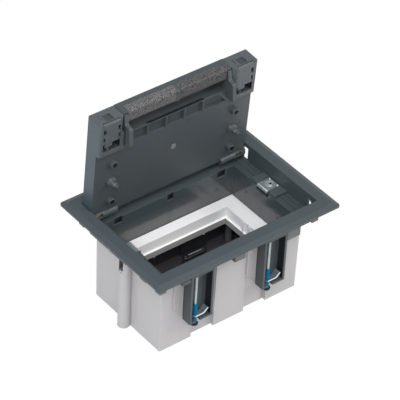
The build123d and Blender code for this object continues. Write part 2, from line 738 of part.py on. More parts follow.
# Claw clamps: a channel under the ledge, and in it the screw, its foot disc, the nut and the claw
channel_roof_z = tray_bottom_z - channel_roof
channel_floor_z = floor_z - channel_drop
claw_z = channel_floor_z + channel_bottom + claw_lift
nut_z = claw_z - nut_seat
shank_end_z = nut_z - disc_gap - disc_height
nut_height = channel_roof_z - nut_top_gap - clamp_travel - nut_z
inner_half = channel_width / 2 - channel_wall
nut_way = nut_radius + nut_way_gap
neck_radius = nut_radius - nut_groove
for corner, plane in clamps.items():
    axis_point = plane.from_local_coords(Vector(-clamp_offset, clamp_screw_inset, 0))
    axis_plane = Plane(origin=axis_point, x_dir=plane.x_dir, z_dir=(0, 0, 1))
    channel_depth = abs(plane.origin.Y) - box_outer_y - channel_gap

    with BuildPart() as channel:
        with BuildSketch(plane.offset(channel_floor_z)):
            with Locations((0, channel_depth / 2)):
                Rectangle(channel_width, channel_depth)
        extrude(amount=tray_bottom_z - channel_floor_z)
        with BuildSketch(plane.offset(channel_floor_z + channel_bottom)):
            with Locations((0, (channel_depth - channel_back) / 2)):
                Rectangle(2 * inner_half, channel_depth - channel_back)
        extrude(amount=channel_roof_z - channel_floor_z - channel_bottom, mode=Mode.SUBTRACT)
        with BuildSketch(plane.offset(channel_floor_z)):
            with Locations((-clamp_offset, clamp_screw_inset)):
                Circle(nut_way)
            with Locations((-clamp_offset, clamp_screw_inset / 2)):
                Rectangle(2 * nut_way, clamp_screw_inset)
        extrude(amount=channel_bottom, mode=Mode.SUBTRACT)
        with BuildSketch(plane.offset(channel_roof_z)):
            with Locations((-clamp_offset, clamp_screw_inset)):
                Circle(clamp_shank_radius + clamp_running)
        extrude(amount=channel_roof, mode=Mode.SUBTRACT)
    save(channel, f"clamp_channel_{corner}")

    with BuildPart() as clamp_screw:
        with BuildSketch(axis_plane.offset(ledge_z)):
            Circle(clamp_head_radius)
        extrude(amount=clamp_head_height)
        chamfer(clamp_screw.edges().group_by(Axis.Z)[-1], length=clamp_head_chamfer)
        with BuildSketch(axis_plane.offset(shank_end_z)):
            Circle(clamp_shank_radius)
        extrude(amount=ledge_z - shank_end_z)
        with BuildSketch(axis_plane.offset(ledge_z + clamp_head_height)):
            Rectangle(clamp_cross_length, clamp_cross_width)
            Rectangle(clamp_cross_width, clamp_cross_length)
        extrude(amount=-clamp_cross_depth, mode=Mode.SUBTRACT)
    save(clamp_screw, f"clamp_screw_{corner}")

    with BuildPart() as foot_disc:
        with BuildSketch(axis_plane.offset(shank_end_z)):
            Circle(disc_radius)
            Circle(clamp_shank_radius, mode=Mode.SUBTRACT)
        extrude(amount=disc_height)
    save(foot_disc, f"clamp_disc_{corner}")

    with BuildPart() as clamp_nut:
        with BuildSketch(axis_plane.offset(nut_z)):
            Circle(nut_radius)
        extrude(amount=nut_height)
        with BuildSketch(axis_plane.offset(claw_z - groove_gap)):
            Circle(nut_radius)
            Circle(neck_radius, mode=Mode.SUBTRACT)
        extrude(amount=claw_thickness + 2 * groove_gap, mode=Mode.SUBTRACT)
        with BuildSketch(axis_plane.offset(nut_z)):
            Circle(clamp_shank_radius + clamp_running)
        extrude(amount=nut_height, mode=Mode.SUBTRACT)
    save(clamp_nut, f"clamp_nut_{corner}")

    section = Plane(origin=axis_plane.origin, x_dir=axis_plane.x_dir, z_dir=-axis_plane.y_dir)
    with BuildPart() as claw:
        with BuildSketch(section):
            with BuildLine():
                Polyline((-claw_half_width, claw_z), (claw_flat, claw_z),
                         (claw_reach, claw_z + claw_rise), (claw_reach - claw_tip, claw_z + claw_rise + claw_tip),
                         (claw_flat - claw_tip, claw_z + claw_thickness),
                         (-claw_half_width, claw_z + claw_thickness), close=True)
            make_face()
        extrude(amount=claw_half_width, both=True)
        with BuildSketch(axis_plane.offset(claw_z)):
            Circle(claw_half_width)
            with Locations((claw_reach / 2, 0)):
                Rectangle(claw_reach, 2 * claw_half_width)
            Circle(neck_radius + claw_running, mode=Mode.SUBTRACT)
        extrude(amount=claw_rise + claw_thickness, mode=Mode.INTERSECT)
    save(claw, f"clamp_claw_{corner}")

# Lid: a tray with the carpet recess on its outer side and the bosses and ribs on its inner side
round_radius = lid_thickness / 2
block_front = lid_front + latch_front_setback
block_back = lid_front + latch_block_depth
flap_back = flap_pin_y + flap_thickness / 2 + flap_back_gap
outlet_end = lid_front + outlet_back
recess_front = outlet_end + recess_wall
ridge_front = outlet_end + ridge_width
trough_back = ridge_front + trough_width
plate_floor = lid_top - carpet_recess
trough_front_half = outlet_half - trough_end_gap


def carpet_area(gap):
    """Outline of the carpet recess, drawn in by a gap all round."""
    rear = -carpet_border - gap
    waist = block_back + carpet_border + gap
    front = recess_front + gap
    with Locations((0, (waist + rear) / 2)):
        Rectangle(2 * (lid_half - carpet_border - gap), rear - waist)
    with Locations((0, (front + rear) / 2)):
        Rectangle(2 * (block_inner - carpet_border - gap), rear - front)


with BuildPart() as lid_shell:
    with BuildSketch(lid_section(-lid_half)):
        with Locations((lid_front / 2, (lid_top + lid_bottom) / 2)):
            Rectangle(-lid_front, lid_thickness)
        with Locations((0, lid_top - round_radius)):
            Circle(round_radius)
    extrude(amount=2 * lid_half)
    # Corner notches for the latch blocks, the flap's place and the outlet behind it
    with BuildSketch(lid_level(lid_bottom)):
        for sx in (-1, 1):
            with Locations((sx * (block_inner + lid_half) / 2, (lid_front + block_back) / 2)):
                Rectangle(lid_half - block_inner, latch_block_depth)
        with Locations((0, (lid_front + flap_back) / 2)):
            Rectangle(2 * block_inner, flap_back - lid_front)
    extrude(amount=lid_thickness, mode=Mode.SUBTRACT)
    with BuildSketch(lid_level(lid_bottom)):
        with Locations((0, (flap_back + outlet_end) / 2)):
            Rectangle(2 * outlet_half, outlet_end - flap_back)
    extrude(amount=lid_thickness - flap_thickness, mode=Mode.SUBTRACT)
    # Carpet recess, which steps in behind the latch blocks
    with BuildSketch(lid_level(plate_floor)):
        carpet_area(0)
    extrude(amount=carpet_recess, mode=Mode.SUBTRACT)
    # Trough behind the ridge, with its gussets
    with BuildSketch(lid_level(lid_bottom)):
        with BuildLine():
            Polyline((-trough_front_half, ridge_front), (trough_front_half, ridge_front),
                     (trough_front_half + trough_flare, trough_back),
                     (-trough_front_half - trough_flare, trough_back), close=True)
        make_face()
        with Locations((0, (ridge_front + trough_back) / 2)):
            with GridLocations(gusset_pitch, 0, gusset_count, 1):
                Rectangle(gusset_width, trough_width, mode=Mode.SUBTRACT)
    extrude(amount=trough_depth, mode=Mode.SUBTRACT)
    # Ring bosses and stepped studs
    boss_places = [(sx * boss_x, -y) for sx in (-1, 1) for y in (boss_rear, boss_front)]
    with BuildSketch(lid_level(lid_bottom)):
        with Locations(*boss_places):
            Circle(boss_radius)
    extrude(amount=-boss_height)
    with BuildSketch(lid_level(lid_bottom - boss_height)):
        with Locations(*boss_places):
            Circle(boss_hole)
    extrude(amount=boss_height + boss_hole_extra, mode=Mode.SUBTRACT)
    for radius, height in stud_steps:
        with BuildSketch(lid_level(lid_bottom)):
            with Locations((-boss_x, -stud_reach), (boss_x, -stud_reach)):
                Circle(radius)
        extrude(amount=-height)
    # Cheeks at both ends of the outlet, with an S-curve over the edge of the well
    cheek_front = lid_front + cheek_setback
    cheek_back = cheek_front + cheek_length
    cheek_top = flap_under - flap_side_gap
    for sx in (-1, 1):
        with BuildSketch(lid_section(sx * outlet_half)):
            with BuildLine():
                base = Polyline((cheek_front, lid_bottom - cheek_front_drop), (cheek_front, cheek_top),
                                (flap_back, cheek_top), (flap_back, lid_bottom), (cheek_back, lid_bottom),
                                (cheek_back, lid_bottom - cheek_rear_drop))
                belly = Line(base @ 1, (cheek_front + cheek_knee, lid_bottom - cheek_knee_drop))
                bend = Spline(belly @ 1, (cheek_front + cheek_shoulder, lid_bottom - cheek_shoulder_drop),
                              tangents=((-1, 0), (-1, 0)))
                Line(bend @ 1, base @ 0)
            make_face()
        extrude(amount=sx * cheek_width)
    # Hinge barrels, bored for the pins, each with a window that shows its pin
    for sx in (-1, 1):
        with BuildSketch(lid_section(sx * barrel_start)):
            with Locations((barrel_back, -barrel_below)):
                Circle(barrel_radius)
        extrude(amount=sx * (lid_half - barrel_start))
        with BuildSketch(lid_section(sx * pin_start)):
            with Locations((barrel_back, -barrel_below)):
                Circle(pin_radius)
        extrude(amount=sx * (lid_half - pin_start), mode=Mode.SUBTRACT)
        with BuildSketch(lid_level(-barrel_below)):
            with Locations((sx * (lid_half - barrel_window_inset), barrel_back - barrel_window_shift)):
                Rectangle(barrel_window, barrel_window_depth)
        extrude(amount=-barrel_radius - 1, mode=Mode.SUBTRACT)
save(lid_shell, "lid_shell")

for side, sx in sides.items():
    with BuildPart() as hinge_pin:
        with BuildSketch(lid_section(sx * pin_start)):
            with Locations((barrel_back, -barrel_below)):
                Circle(pin_radius)
        extrude(amount=sx * (side_x + tray_wall - pin_start - pin_inset))
    save(hinge_pin, f"hinge_pin_{side}")

# Stiffening plate: steel sheet on the floor of the carpet recess
with BuildPart() as lid_plate:
    with BuildSketch(lid_level(plate_floor)):
        carpet_area(plate_gap)
    extrude(amount=plate_thickness)
save(lid_plate, "lid_plate")

# Latch blocks in the lid's front corners, and the sliding latches in them
along_lid = Axis((0, 0, 0), lid_y_dir)
out_of_lid = Axis((0, 0, 0), lid_z_dir)
slide_front = block_front + latch_flush
slide_back = block_back - latch_end_wall
panel_back = slide_front + latch_length
front_face = Plane(origin=lid_plane.from_local_coords(Vector(0, block_front, 0)),
                   x_dir=(1, 0, 0), z_dir=-lid_plane.y_dir)
for side, sx in sides.items():
    slot_boxes = [(sx * latch_x + out * (latch_width - width) / 2, block_front + middle, width, length)
                  for out in latch_slot_sides[side] for width, length, middle in latch_slots]
    with BuildPart() as latch_block:
        with BuildSketch(lid_level(block_bottom)):
            with Locations((sx * (block_inner + lid_half) / 2, (block_front + block_back) / 2)):
                Rectangle(lid_half - block_inner, block_back - block_front)
        extrude(amount=lid_top - block_bottom)
        outer_edges = latch_block.edges().filter_by(along_lid).sort_by(Axis.X, reverse=sx > 0)[:2]
        fillet(outer_edges.sort_by(out_of_lid)[0], radius=latch_block_round)
        # The inner lower edge is cut back beside the cheek
        with BuildSketch(front_face):
            with BuildLine():
                Polyline((sx * block_inner, block_bottom), (sx * (block_inner + relief_width), block_bottom),
                         (sx * block_inner, block_bottom + relief_height), close=True)
            make_face()
        extrude(amount=-relief_length, mode=Mode.SUBTRACT)
        # Way of the latch, open to the front and below, and the finger pocket behind the latch
        with BuildSketch(lid_level(block_bottom)):
            with Locations((sx * latch_x, (block_front + slide_back) / 2)):
                Rectangle(latch_width + 2 * latch_gap, slide_back - block_front)
        extrude(amount=latch_thickness + latch_roof_gap, mode=Mode.SUBTRACT)
        with BuildSketch(lid_level(block_bottom)):
            with Locations((sx * latch_x, (panel_back + slide_back) / 2)):
                Rectangle(latch_width, slide_back - panel_back)
        extrude(amount=grip_pocket_height, mode=Mode.SUBTRACT)
        with BuildSketch(lid_level(block_bottom)):
            for slot_x, slot_y, width, length in slot_boxes:
                with Locations((slot_x, slot_y)):
                    Rectangle(width, length)
        extrude(amount=latch_slot_depth, mode=Mode.SUBTRACT)
        # Square recess and small marks in the front face
        with BuildSketch(front_face):
            with Locations((sx * latch_x, key_recess_z)):
                Rectangle(key_recess, key_recess)
            for mark_x, mark_z, mark_height in key_marks[side]:
                with Locations((sx * latch_x + mark_x, mark_z)):
                    Rectangle(key_mark_width, mark_height)
        extrude(amount=-key_recess_depth, mode=Mode.SUBTRACT)
        with BuildSketch(lid_section(sx * block_inner)):
            with Locations((flap_pin_y, flap_pin_z)):
                Circle(flap_pin_radius + flap_pin_clearance)
        extrude(amount=sx * (flap_pin_length + flap_pin_end), mode=Mode.SUBTRACT)
    save(latch_block, f"latch_block_{side}")

    with BuildPart() as latch:
        with BuildSketch(lid_level(block_bottom)):
            with Locations((sx * latch_x, (slide_front + panel_back) / 2)):
                Rectangle(latch_width, latch_length)
        extrude(amount=latch_thickness)
        front_edges = latch.edges().filter_by(Axis.X).sort_by(along_lid)[:2]
        fillet(front_edges.sort_by(out_of_lid)[0], radius=latch_round)
        with BuildSketch(lid_level(block_bottom + latch_tab_step)):
            with Locations((sx * latch_x + latch_tab_offset, panel_back + latch_tab_length / 2)):
                Rectangle(latch_tab_width, latch_tab_length)
        extrude(amount=latch_thickness - latch_tab_step)
        with BuildSketch(lid_level(block_bottom)):
            for slot_x, slot_y, width, length in slot_boxes:
                with Locations((slot_x, slot_y)):
                    Rectangle(width, length)
        extrude(amount=latch_thickness, mode=Mode.SUBTRACT)
    save(latch, f"latch_{side}")

# Cable flap: a hinged plate with a front lip that turns down at both ends, a divider and foam glued in
foam_bottom = lid_bottom + foam_gap
leg_inner = flap_half - flap_leg
foam_start = divider_width / 2
foam_length = leg_inner - foam_gap - foam_start
with BuildPart() as cable_flap:
    with BuildSketch(lid_section(-flap_half)):
        with Locations(((lid_front + flap_pin_y) / 2, flap_pin_z)):
            Rectangle(flap_depth, flap_thickness)
        with Locations((flap_pin_y, flap_pin_z)):
            Circle(flap_thickness / 2)
        with Locations((lid_front + flap_lip / 2, (flap_under + lip_bottom) / 2)):
            Rectangle(flap_lip, flap_under - lip_bottom)
    extrude(amount=2 * flap_half)
    for sx in (-1, 1):
        with BuildSketch(lid_section(sx * leg_inner)):
            with Locations((lid_front + flap_lip / 2, (flap_under + lid_bottom) / 2)):
                Rectangle(flap_lip, flap_under - lid_bottom)
        extrude(amount=sx * flap_leg)
    with BuildSketch(lid_section(-divider_width / 2)):
        with Locations((lid_front + foam_depth / 2, (flap_under + lid_bottom) / 2)):
            Rectangle(foam_depth, flap_under - lid_bottom)
        with Locations((lid_front + foam_depth, lid_bottom + divider_hook / 2)):
            Circle(divider_hook / 2)
    extrude(amount=divider_width)
    with BuildSketch(lid_section(-flap_half - flap_pin_length)):
        with Locations((flap_pin_y, flap_pin_z)):
            Circle(flap_pin_radius)
    extrude(amount=2 * (flap_half + flap_pin_length))
save(cable_flap, "cable_flap")

for side, sx in sides.items():
    with BuildPart() as foam_strip:
        with BuildSketch(lid_section(sx * foam_start)):
            with Locations((lid_front + foam_depth / 2, (lip_bottom + foam_bottom) / 2)):
                Rectangle(foam_depth, lip_bottom - foam_bottom)
            with Locations((lid_front + (flap_lip + foam_depth) / 2, (flap_under + lip_bottom) / 2)):
                Rectangle(foam_depth - flap_lip, flap_under - lip_bottom)
        extrude(amount=sx * foam_length)
    save(foam_strip, f"foam_strip_{side}")
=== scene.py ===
import math

import bmesh
import bpy
from mathutils import Matrix, Vector, noise


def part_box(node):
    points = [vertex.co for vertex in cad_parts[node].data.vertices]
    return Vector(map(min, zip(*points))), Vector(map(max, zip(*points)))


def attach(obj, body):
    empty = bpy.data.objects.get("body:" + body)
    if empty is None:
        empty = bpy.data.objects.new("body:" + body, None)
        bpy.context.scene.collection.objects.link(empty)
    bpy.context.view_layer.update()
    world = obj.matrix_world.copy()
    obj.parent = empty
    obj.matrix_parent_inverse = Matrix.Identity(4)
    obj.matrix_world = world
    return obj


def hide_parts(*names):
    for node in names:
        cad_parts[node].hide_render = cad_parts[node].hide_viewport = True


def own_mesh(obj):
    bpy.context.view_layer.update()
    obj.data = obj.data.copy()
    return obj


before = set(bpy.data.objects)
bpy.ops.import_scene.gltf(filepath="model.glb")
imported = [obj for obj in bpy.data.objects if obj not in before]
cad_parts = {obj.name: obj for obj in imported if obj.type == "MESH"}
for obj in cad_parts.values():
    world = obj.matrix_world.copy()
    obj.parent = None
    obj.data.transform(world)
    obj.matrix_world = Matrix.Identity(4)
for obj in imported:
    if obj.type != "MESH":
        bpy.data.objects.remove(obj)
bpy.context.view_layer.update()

# The camera stands high in front of the box's left corner and looks down at the open lid,
# with a long lens, so that the rim's edges stay almost parallel.
eye = Vector((-1.0902, -1.2978, 1.4799))
turned_degrees = (50.8745, -2.5367, -37.9478)
sensor = 36.0
lens = 225.95
camera_data = bpy.data.cameras.new("camera")
camera_data.sensor_width = sensor
camera_data.lens = lens
camera = bpy.data.objects.new("camera", camera_data)
camera.location = eye
camera.rotation_euler = [math.radians(angle) for angle in turned_degrees]
bpy.context.scene.collection.objects.link(camera)
bpy.context.scene.camera = camera
bpy.context.scene.view_settings.view_transform = "Standard"

# The studio: a white table top that stays white to the camera and in gloss, and keeps the box's
# soft shadow, a surround that is pale round the table and darker overhead, and four soft lamps.
table_size = 6.0
table_white = 0.60
camera_white = 0.90
table_glow = 1.06
pale_round, pale_up_to = 0.62, 0.12
dark_above, dark_from = 0.30, 0.55
surround_tint = (0.99, 1.0, 1.02, 1)
# Each lamp has a place, a size, a power and a tint.
lamps = {"key": ((-1.0, -1.2, 1.7), 1.1, 26.0, (1.0, 1.0, 1.0)),
         "right": ((0.8, -0.7, 0.75), 0.45, 4.6, (1.0, 0.98, 0.96)),
         "front_top": ((-0.1, -0.6, 2.0), 1.0, 11.5, (1.0, 1.0, 1.0)),
         "left": ((-1.05, 0.0, 1.0), 0.7, 5.6, (0.93, 0.97, 1.04))}
floor_mesh = bpy.data.meshes.new("table_top")
half = table_size / 2
table_corners = [(-half, -half, 0), (half, -half, 0), (half, half, 0), (-half, half, 0)]
floor_mesh.from_pydata(table_corners, [], [(0, 1, 2, 3)])
table_top = bpy.data.objects.new("table_top", floor_mesh)
bpy.context.scene.collection.objects.link(table_top)
table_finish = bpy.data.materials.new("table_white")
table_finish.use_nodes = True
nodes, links = table_finish.node_tree.nodes, table_finish.node_tree.links
nodes.clear()
diffuse = nodes.new("ShaderNodeBsdfDiffuse")
diffuse.inputs["Color"].default_value = (table_white, table_white, table_white, 1)
glow = nodes.new("ShaderNodeEmission")
glow.inputs["Strength"].default_value = table_glow
rays = nodes.new("ShaderNodeLightPath")
either = nodes.new("ShaderNodeMath")
either.operation = "MAXIMUM"
seen = nodes.new("ShaderNodeMath")
seen.operation = "MULTIPLY"
seen.inputs[1].default_value = camera_white
mix = nodes.new("ShaderNodeMixShader")
out = nodes.new("ShaderNodeOutputMaterial")
links.new(rays.outputs["Is Camera Ray"], either.inputs[0])
links.new(rays.outputs["Is Glossy Ray"], either.inputs[1])
links.new(either.outputs[0], seen.inputs[0])
links.new(seen.outputs[0], mix.inputs["Fac"])
links.new(diffuse.outputs[0], mix.inputs[1])
links.new(glow.outputs[0], mix.inputs[2])
links.new(mix.outputs[0], out.inputs["Surface"])
floor_mesh.materials.append(table_finish)

world = bpy.data.worlds.new("surround")
bpy.context.scene.world = world
world.use_nodes = True
nodes, links = world.node_tree.nodes, world.node_tree.links
nodes.clear()
heading = nodes.new("ShaderNodeTexCoord")
parts = nodes.new("ShaderNodeSeparateXYZ")
rise = nodes.new("ShaderNodeMapRange")
rise.interpolation_type = "SMOOTHSTEP"
rise.inputs["From Min"].default_value = pale_up_to
rise.inputs["From Max"].default_value = dark_from
rise.inputs["To Min"].default_value = pale_round
rise.inputs["To Max"].default_value = dark_above
light = nodes.new("ShaderNodeBackground")
shown = nodes.new("ShaderNodeBackground")
rays = nodes.new("ShaderNodeLightPath")
mix = nodes.new("ShaderNodeMixShader")
out = nodes.new("ShaderNodeOutputWorld")
links.new(heading.outputs["Generated"], parts.inputs[0])
links.new(parts.outputs["Z"], rise.inputs["Value"])
links.new(rise.outputs["Result"], light.inputs["Strength"])
links.new(rays.outputs["Is Camera Ray"], mix.inputs["Fac"])
links.new(light.outputs[0], mix.inputs[1])
links.new(shown.outputs[0], mix.inputs[2])
links.new(mix.outputs[0], out.inputs["Surface"])
light.inputs["Color"].default_value = surround_tint
shown.inputs["Color"].default_value = (1, 1, 1, 1)

aim = Vector((0, 0, 0.09))
for lamp_name, (place, size, power, tint) in lamps.items():
    lamp_data = bpy.data.lights.new(lamp_name, "AREA")
    lamp_data.shape = "DISK"
    lamp_data.size = size
    lamp_data.energy = power
    lamp_data.color = tint
    lamp = bpy.data.objects.new(lamp_name, lamp_data)
    lamp.location = place
    lamp.rotation_euler = (aim - Vector(place)).to_track_quat("-Z", "Y").to_euler()
    bpy.context.scene.collection.objects.link(lamp)


# The open lid's own axes: along the hinge, back toward it, and out through the lid's face.
lid_travel_degrees = 86.43
hinge_y, hinge_z = 0.0513, 0.0934
lean = math.radians(90 - lid_travel_degrees)
lid_frame = Matrix(((1, 0, 0, 0), (0, math.sin(lean), math.cos(lean), hinge_y),
                    (0, -math.cos(lean), math.sin(lean), hinge_z), (0, 0, 0, 1)))


# Lower box: injection moulded in light grey plastic with a fine spark texture, its walls drafted.
# It hangs from the levelling screws; the deep shade of its inside under the device frame is painted into its
# colour.
def moulded_plastic(name, colour, roughness=0.42, grain=2200.0, grain_depth=0.00005, edge=0.0005,
                    mottling=0.05, gleam=0.5):
    """Plastic with a moulded grain, soft edges and a faint drift of colour and gloss."""
    finish = bpy.data.materials.new(name)
    finish.use_nodes = True
    tree = finish.node_tree
    shader = tree.nodes["Principled BSDF"]
    shader.inputs["Specular IOR Level"].default_value = gleam
    place = tree.nodes.new("ShaderNodeTexCoord")
    drift = tree.nodes.new("ShaderNodeTexNoise")
    drift.inputs["Scale"].default_value = 14.0
    drift.inputs["Detail"].default_value = 3.0
    tint = tree.nodes.new("ShaderNodeMix")
    tint.data_type = "RGBA"
    dark = [channel * (1 - mottling) for channel in colour]
    pale = [channel * (1 + mottling) for channel in colour]
    tint.inputs["A"].default_value = (*dark, 1)
    tint.inputs["B"].default_value = (*pale, 1)
    spark = tree.nodes.new("ShaderNodeTexNoise")
    spark.inputs["Scale"].default_value = grain
    spark.inputs["Detail"].default_value = 2.0
    gloss = tree.nodes.new("ShaderNodeMapRange")
    gloss.inputs["To Min"].default_value = roughness - 0.05
    gloss.inputs["To Max"].default_value = roughness + 0.05
    rounded = tree.nodes.new("ShaderNodeBevel")
    rounded.samples = 6
    rounded.inputs["Radius"].default_value = edge
    bump = tree.nodes.new("ShaderNodeBump")
    bump.inputs["Strength"].default_value = 0.35
    bump.inputs["Distance"].default_value = grain_depth
    tree.links.new(place.outputs["Object"], drift.inputs["Vector"])
    tree.links.new(place.outputs["Object"], spark.inputs["Vector"])
    tree.links.new(drift.outputs["Fac"], tint.inputs["Factor"])
    tree.links.new(tint.outputs["Result"], shader.inputs["Base Color"])
    tree.links.new(drift.outputs["Fac"], gloss.inputs["Value"])
    tree.links.new(gloss.outputs["Result"], shader.inputs["Roughness"])
    tree.links.new(spark.outputs["Fac"], bump.inputs["Height"])
    tree.links.new(rounded.outputs["Normal"], bump.inputs["Normal"])
    tree.links.new(bump.outputs["Normal"], shader.inputs["Normal"])
    return finish


def zone_share(finish, spans, turned=None, fade=0.00001):
    """How far a point belongs to the zone where |x|, |y| and |z| lie in their spans, in metres,
    along the part's own axes or along those of a turned frame. The zone fades over its borders."""
    tree = finish.node_tree
    place = tree.nodes.new("ShaderNodeTexCoord")
    parts = tree.nodes.new("ShaderNodeSeparateXYZ")
    if turned:
        back = turned.inverted()
        carried = tree.nodes.new("ShaderNodeMapping")
        carried.inputs["Location"].default_value = back.to_translation()
        carried.inputs["Rotation"].default_value = back.to_euler("XYZ")
        tree.links.new(place.outputs["Object"], carried.inputs["Vector"])
        tree.links.new(carried.outputs["Vector"], parts.inputs[0])
    else:
        tree.links.new(place.outputs["Object"], parts.inputs[0])
    share = None
    for axis, (low, high) in zip("XYZ", spans):
        size = tree.nodes.new("ShaderNodeMath")
        size.operation = "ABSOLUTE"
        tree.links.new(parts.outputs[axis], size.inputs[0])
        shift = tree.nodes.new("ShaderNodeMath")
        shift.operation = "SUBTRACT"
        shift.inputs[1].default_value = (low + high) / 2
        away = tree.nodes.new("ShaderNodeMath")
        away.operation = "ABSOLUTE"
        within = tree.nodes.new("ShaderNodeMapRange")
        within.interpolation_type = "SMOOTHSTEP"
        within.inputs["From Min"].default_value = (high - low) / 2 - fade / 2
        within.inputs["From Max"].default_value = (high - low) / 2 + fade / 2
        within.inputs["To Min"].default_value = 1.0
        within.inputs["To Max"].default_value = 0.0
        tree.links.new(size.outputs[0], shift.inputs[0])
        tree.links.new(shift.outputs[0], away.inputs[0])
        tree.links.new(away.outputs[0], within.inputs["Value"])
        if share:
            both = tree.nodes.new("ShaderNodeMath")
            both.operation = "MULTIPLY"
            tree.links.new(within.outputs["Result"], both.inputs[0])
            tree.links.new(share, both.inputs[1])
            share = both.outputs[0]
        else:
            share = within.outputs["Result"]
    return share


def recolour_zone(finish, colour, spans, turned=None, fade=0.00001):
    """Another base colour inside a zone."""
    share = zone_share(finish, spans, turned, fade)
    tree = finish.node_tree
    base = tree.nodes["Principled BSDF"].inputs["Base Color"]
    blend = tree.nodes.new("ShaderNodeMix")
    blend.data_type = "RGBA"
    blend.inputs["B"].default_value = (*colour, 1)
    tree.links.new(base.links[0].from_socket, blend.inputs["A"])
    tree.links.new(share, blend.inputs["Factor"])
    tree.links.new(blend.outputs["Result"], base)


def polish_zone(finish, roughness, spans):
    """Another roughness inside a zone."""
    share = zone_share(finish, spans)
    tree = finish.node_tree
    sheen = tree.nodes["Principled BSDF"].inputs["Roughness"]
    blend = tree.nodes.new("ShaderNodeMix")
    blend.inputs["B"].default_value = roughness
    tree.links.new(sheen.links[0].from_socket, blend.inputs["A"])
    tree.links.new(share, blend.inputs["Factor"])
    tree.links.new(blend.outputs["Result"], sheen)


def finish_nodes(finish, *names):
    """Gives CAD nodes a finish in place of the plain one they came with."""
    for name in names:
        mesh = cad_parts[name].data
        mesh.materials.clear()
        mesh.materials.append(finish)


# Inside the box its grey is painted over with shade, a little less dark on the floor and on its screw
# columns, and the slots over the levelling nuts are painted with shade too. The conduit pockets are let into
# the outer face, and keep its grey.
grey = (0.50, 0.487, 0.493)
inner_shade = (0.027, 0.026, 0.032)
painted_floor_shade = (0.055, 0.052, 0.056)
column_shade = (0.105, 0.10, 0.105)
slot_shade = (0.12, 0.10, 0.095)
inside_x, inside_y = (0, 0.0752), (0, 0.0454)
inside_z, floor_z = (0.0024, 0.09), (0.0023, 0.0027)
column_zone = ((0.0615, 0.0695), (0.0317, 0.0397), (0.0028, 0.0266))
pocket_zone = ((0.0168, 0.0422), (0.0422, 0.05), (0, 0.0275))
slot_zone = ((0.078, 0.0861), (0, 0.00285), (0.0626, 0.085))
grey_plastic = moulded_plastic("grey_plastic", grey, grain=2600.0, mottling=0.02)
recolour_zone(grey_plastic, inner_shade, (inside_x, inside_y, inside_z))
recolour_zone(grey_plastic, painted_floor_shade, (inside_x, inside_y, floor_z))
recolour_zone(grey_plastic, column_shade, column_zone)
recolour_zone(grey_plastic, grey, pocket_zone)
recolour_zone(grey_plastic, slot_shade, slot_zone)
finish_nodes(grey_plastic, "lower_box")


def closed_body(shape, rows):
    """Joins closed rows of points with faces, and caps the first row and the last."""
    rows = [[shape.verts.new(point) for point in row] for row in rows]
    for row, following in zip(rows, rows[1:]):
        for k in range(len(row)):
            ahead = (k + 1) % len(row)
            shape.faces.new((row[k], row[ahead], following[ahead], following[k]))
    shape.faces.new(rows[0])
    shape.faces.new(rows[-1])


def finished_piece(name, shape, finish, body):
    """A body as a piece of its own, in its finish, riding on a body of the CAD model."""
    bmesh.ops.recalc_face_normals(shape, faces=shape.faces)
    mesh = bpy.data.meshes.new(name)
    shape.to_mesh(mesh)
    shape.free()
    mesh.materials.append(finish)
    piece = bpy.data.objects.new(name, mesh)
    bpy.context.scene.collection.objects.link(piece)
    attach(piece, body)
    return piece


# Beside each clamp channel a low pad is moulded on the box's front wall. Its foot is cut off at a
# slope, and its face falls back toward the channel.
pad_wall, pad_sunk = -0.0472, 0.0004
pad_rise, pad_thin_rise = 0.0016, 0.0004
pad_starts, pad_width = (-0.0647, 0.0163), 0.0115
pad_top, pad_foot, pad_low_foot = 0.0720, 0.0430, 0.0315
pads = bmesh.new()
for start in pad_starts:
    end = start + pad_width
    outline = ((start, pad_top, pad_rise), (end, pad_top, pad_thin_rise),
               (end, pad_low_foot, pad_thin_rise), (start, pad_foot, pad_rise))
    closed_body(pads, ([(x, pad_wall - rise, z) for x, z, rise in outline],
                       [(x, pad_wall + pad_sunk, z) for x, z, _ in outline]))
finished_piece("box_pads", pads, grey_plastic, "box")


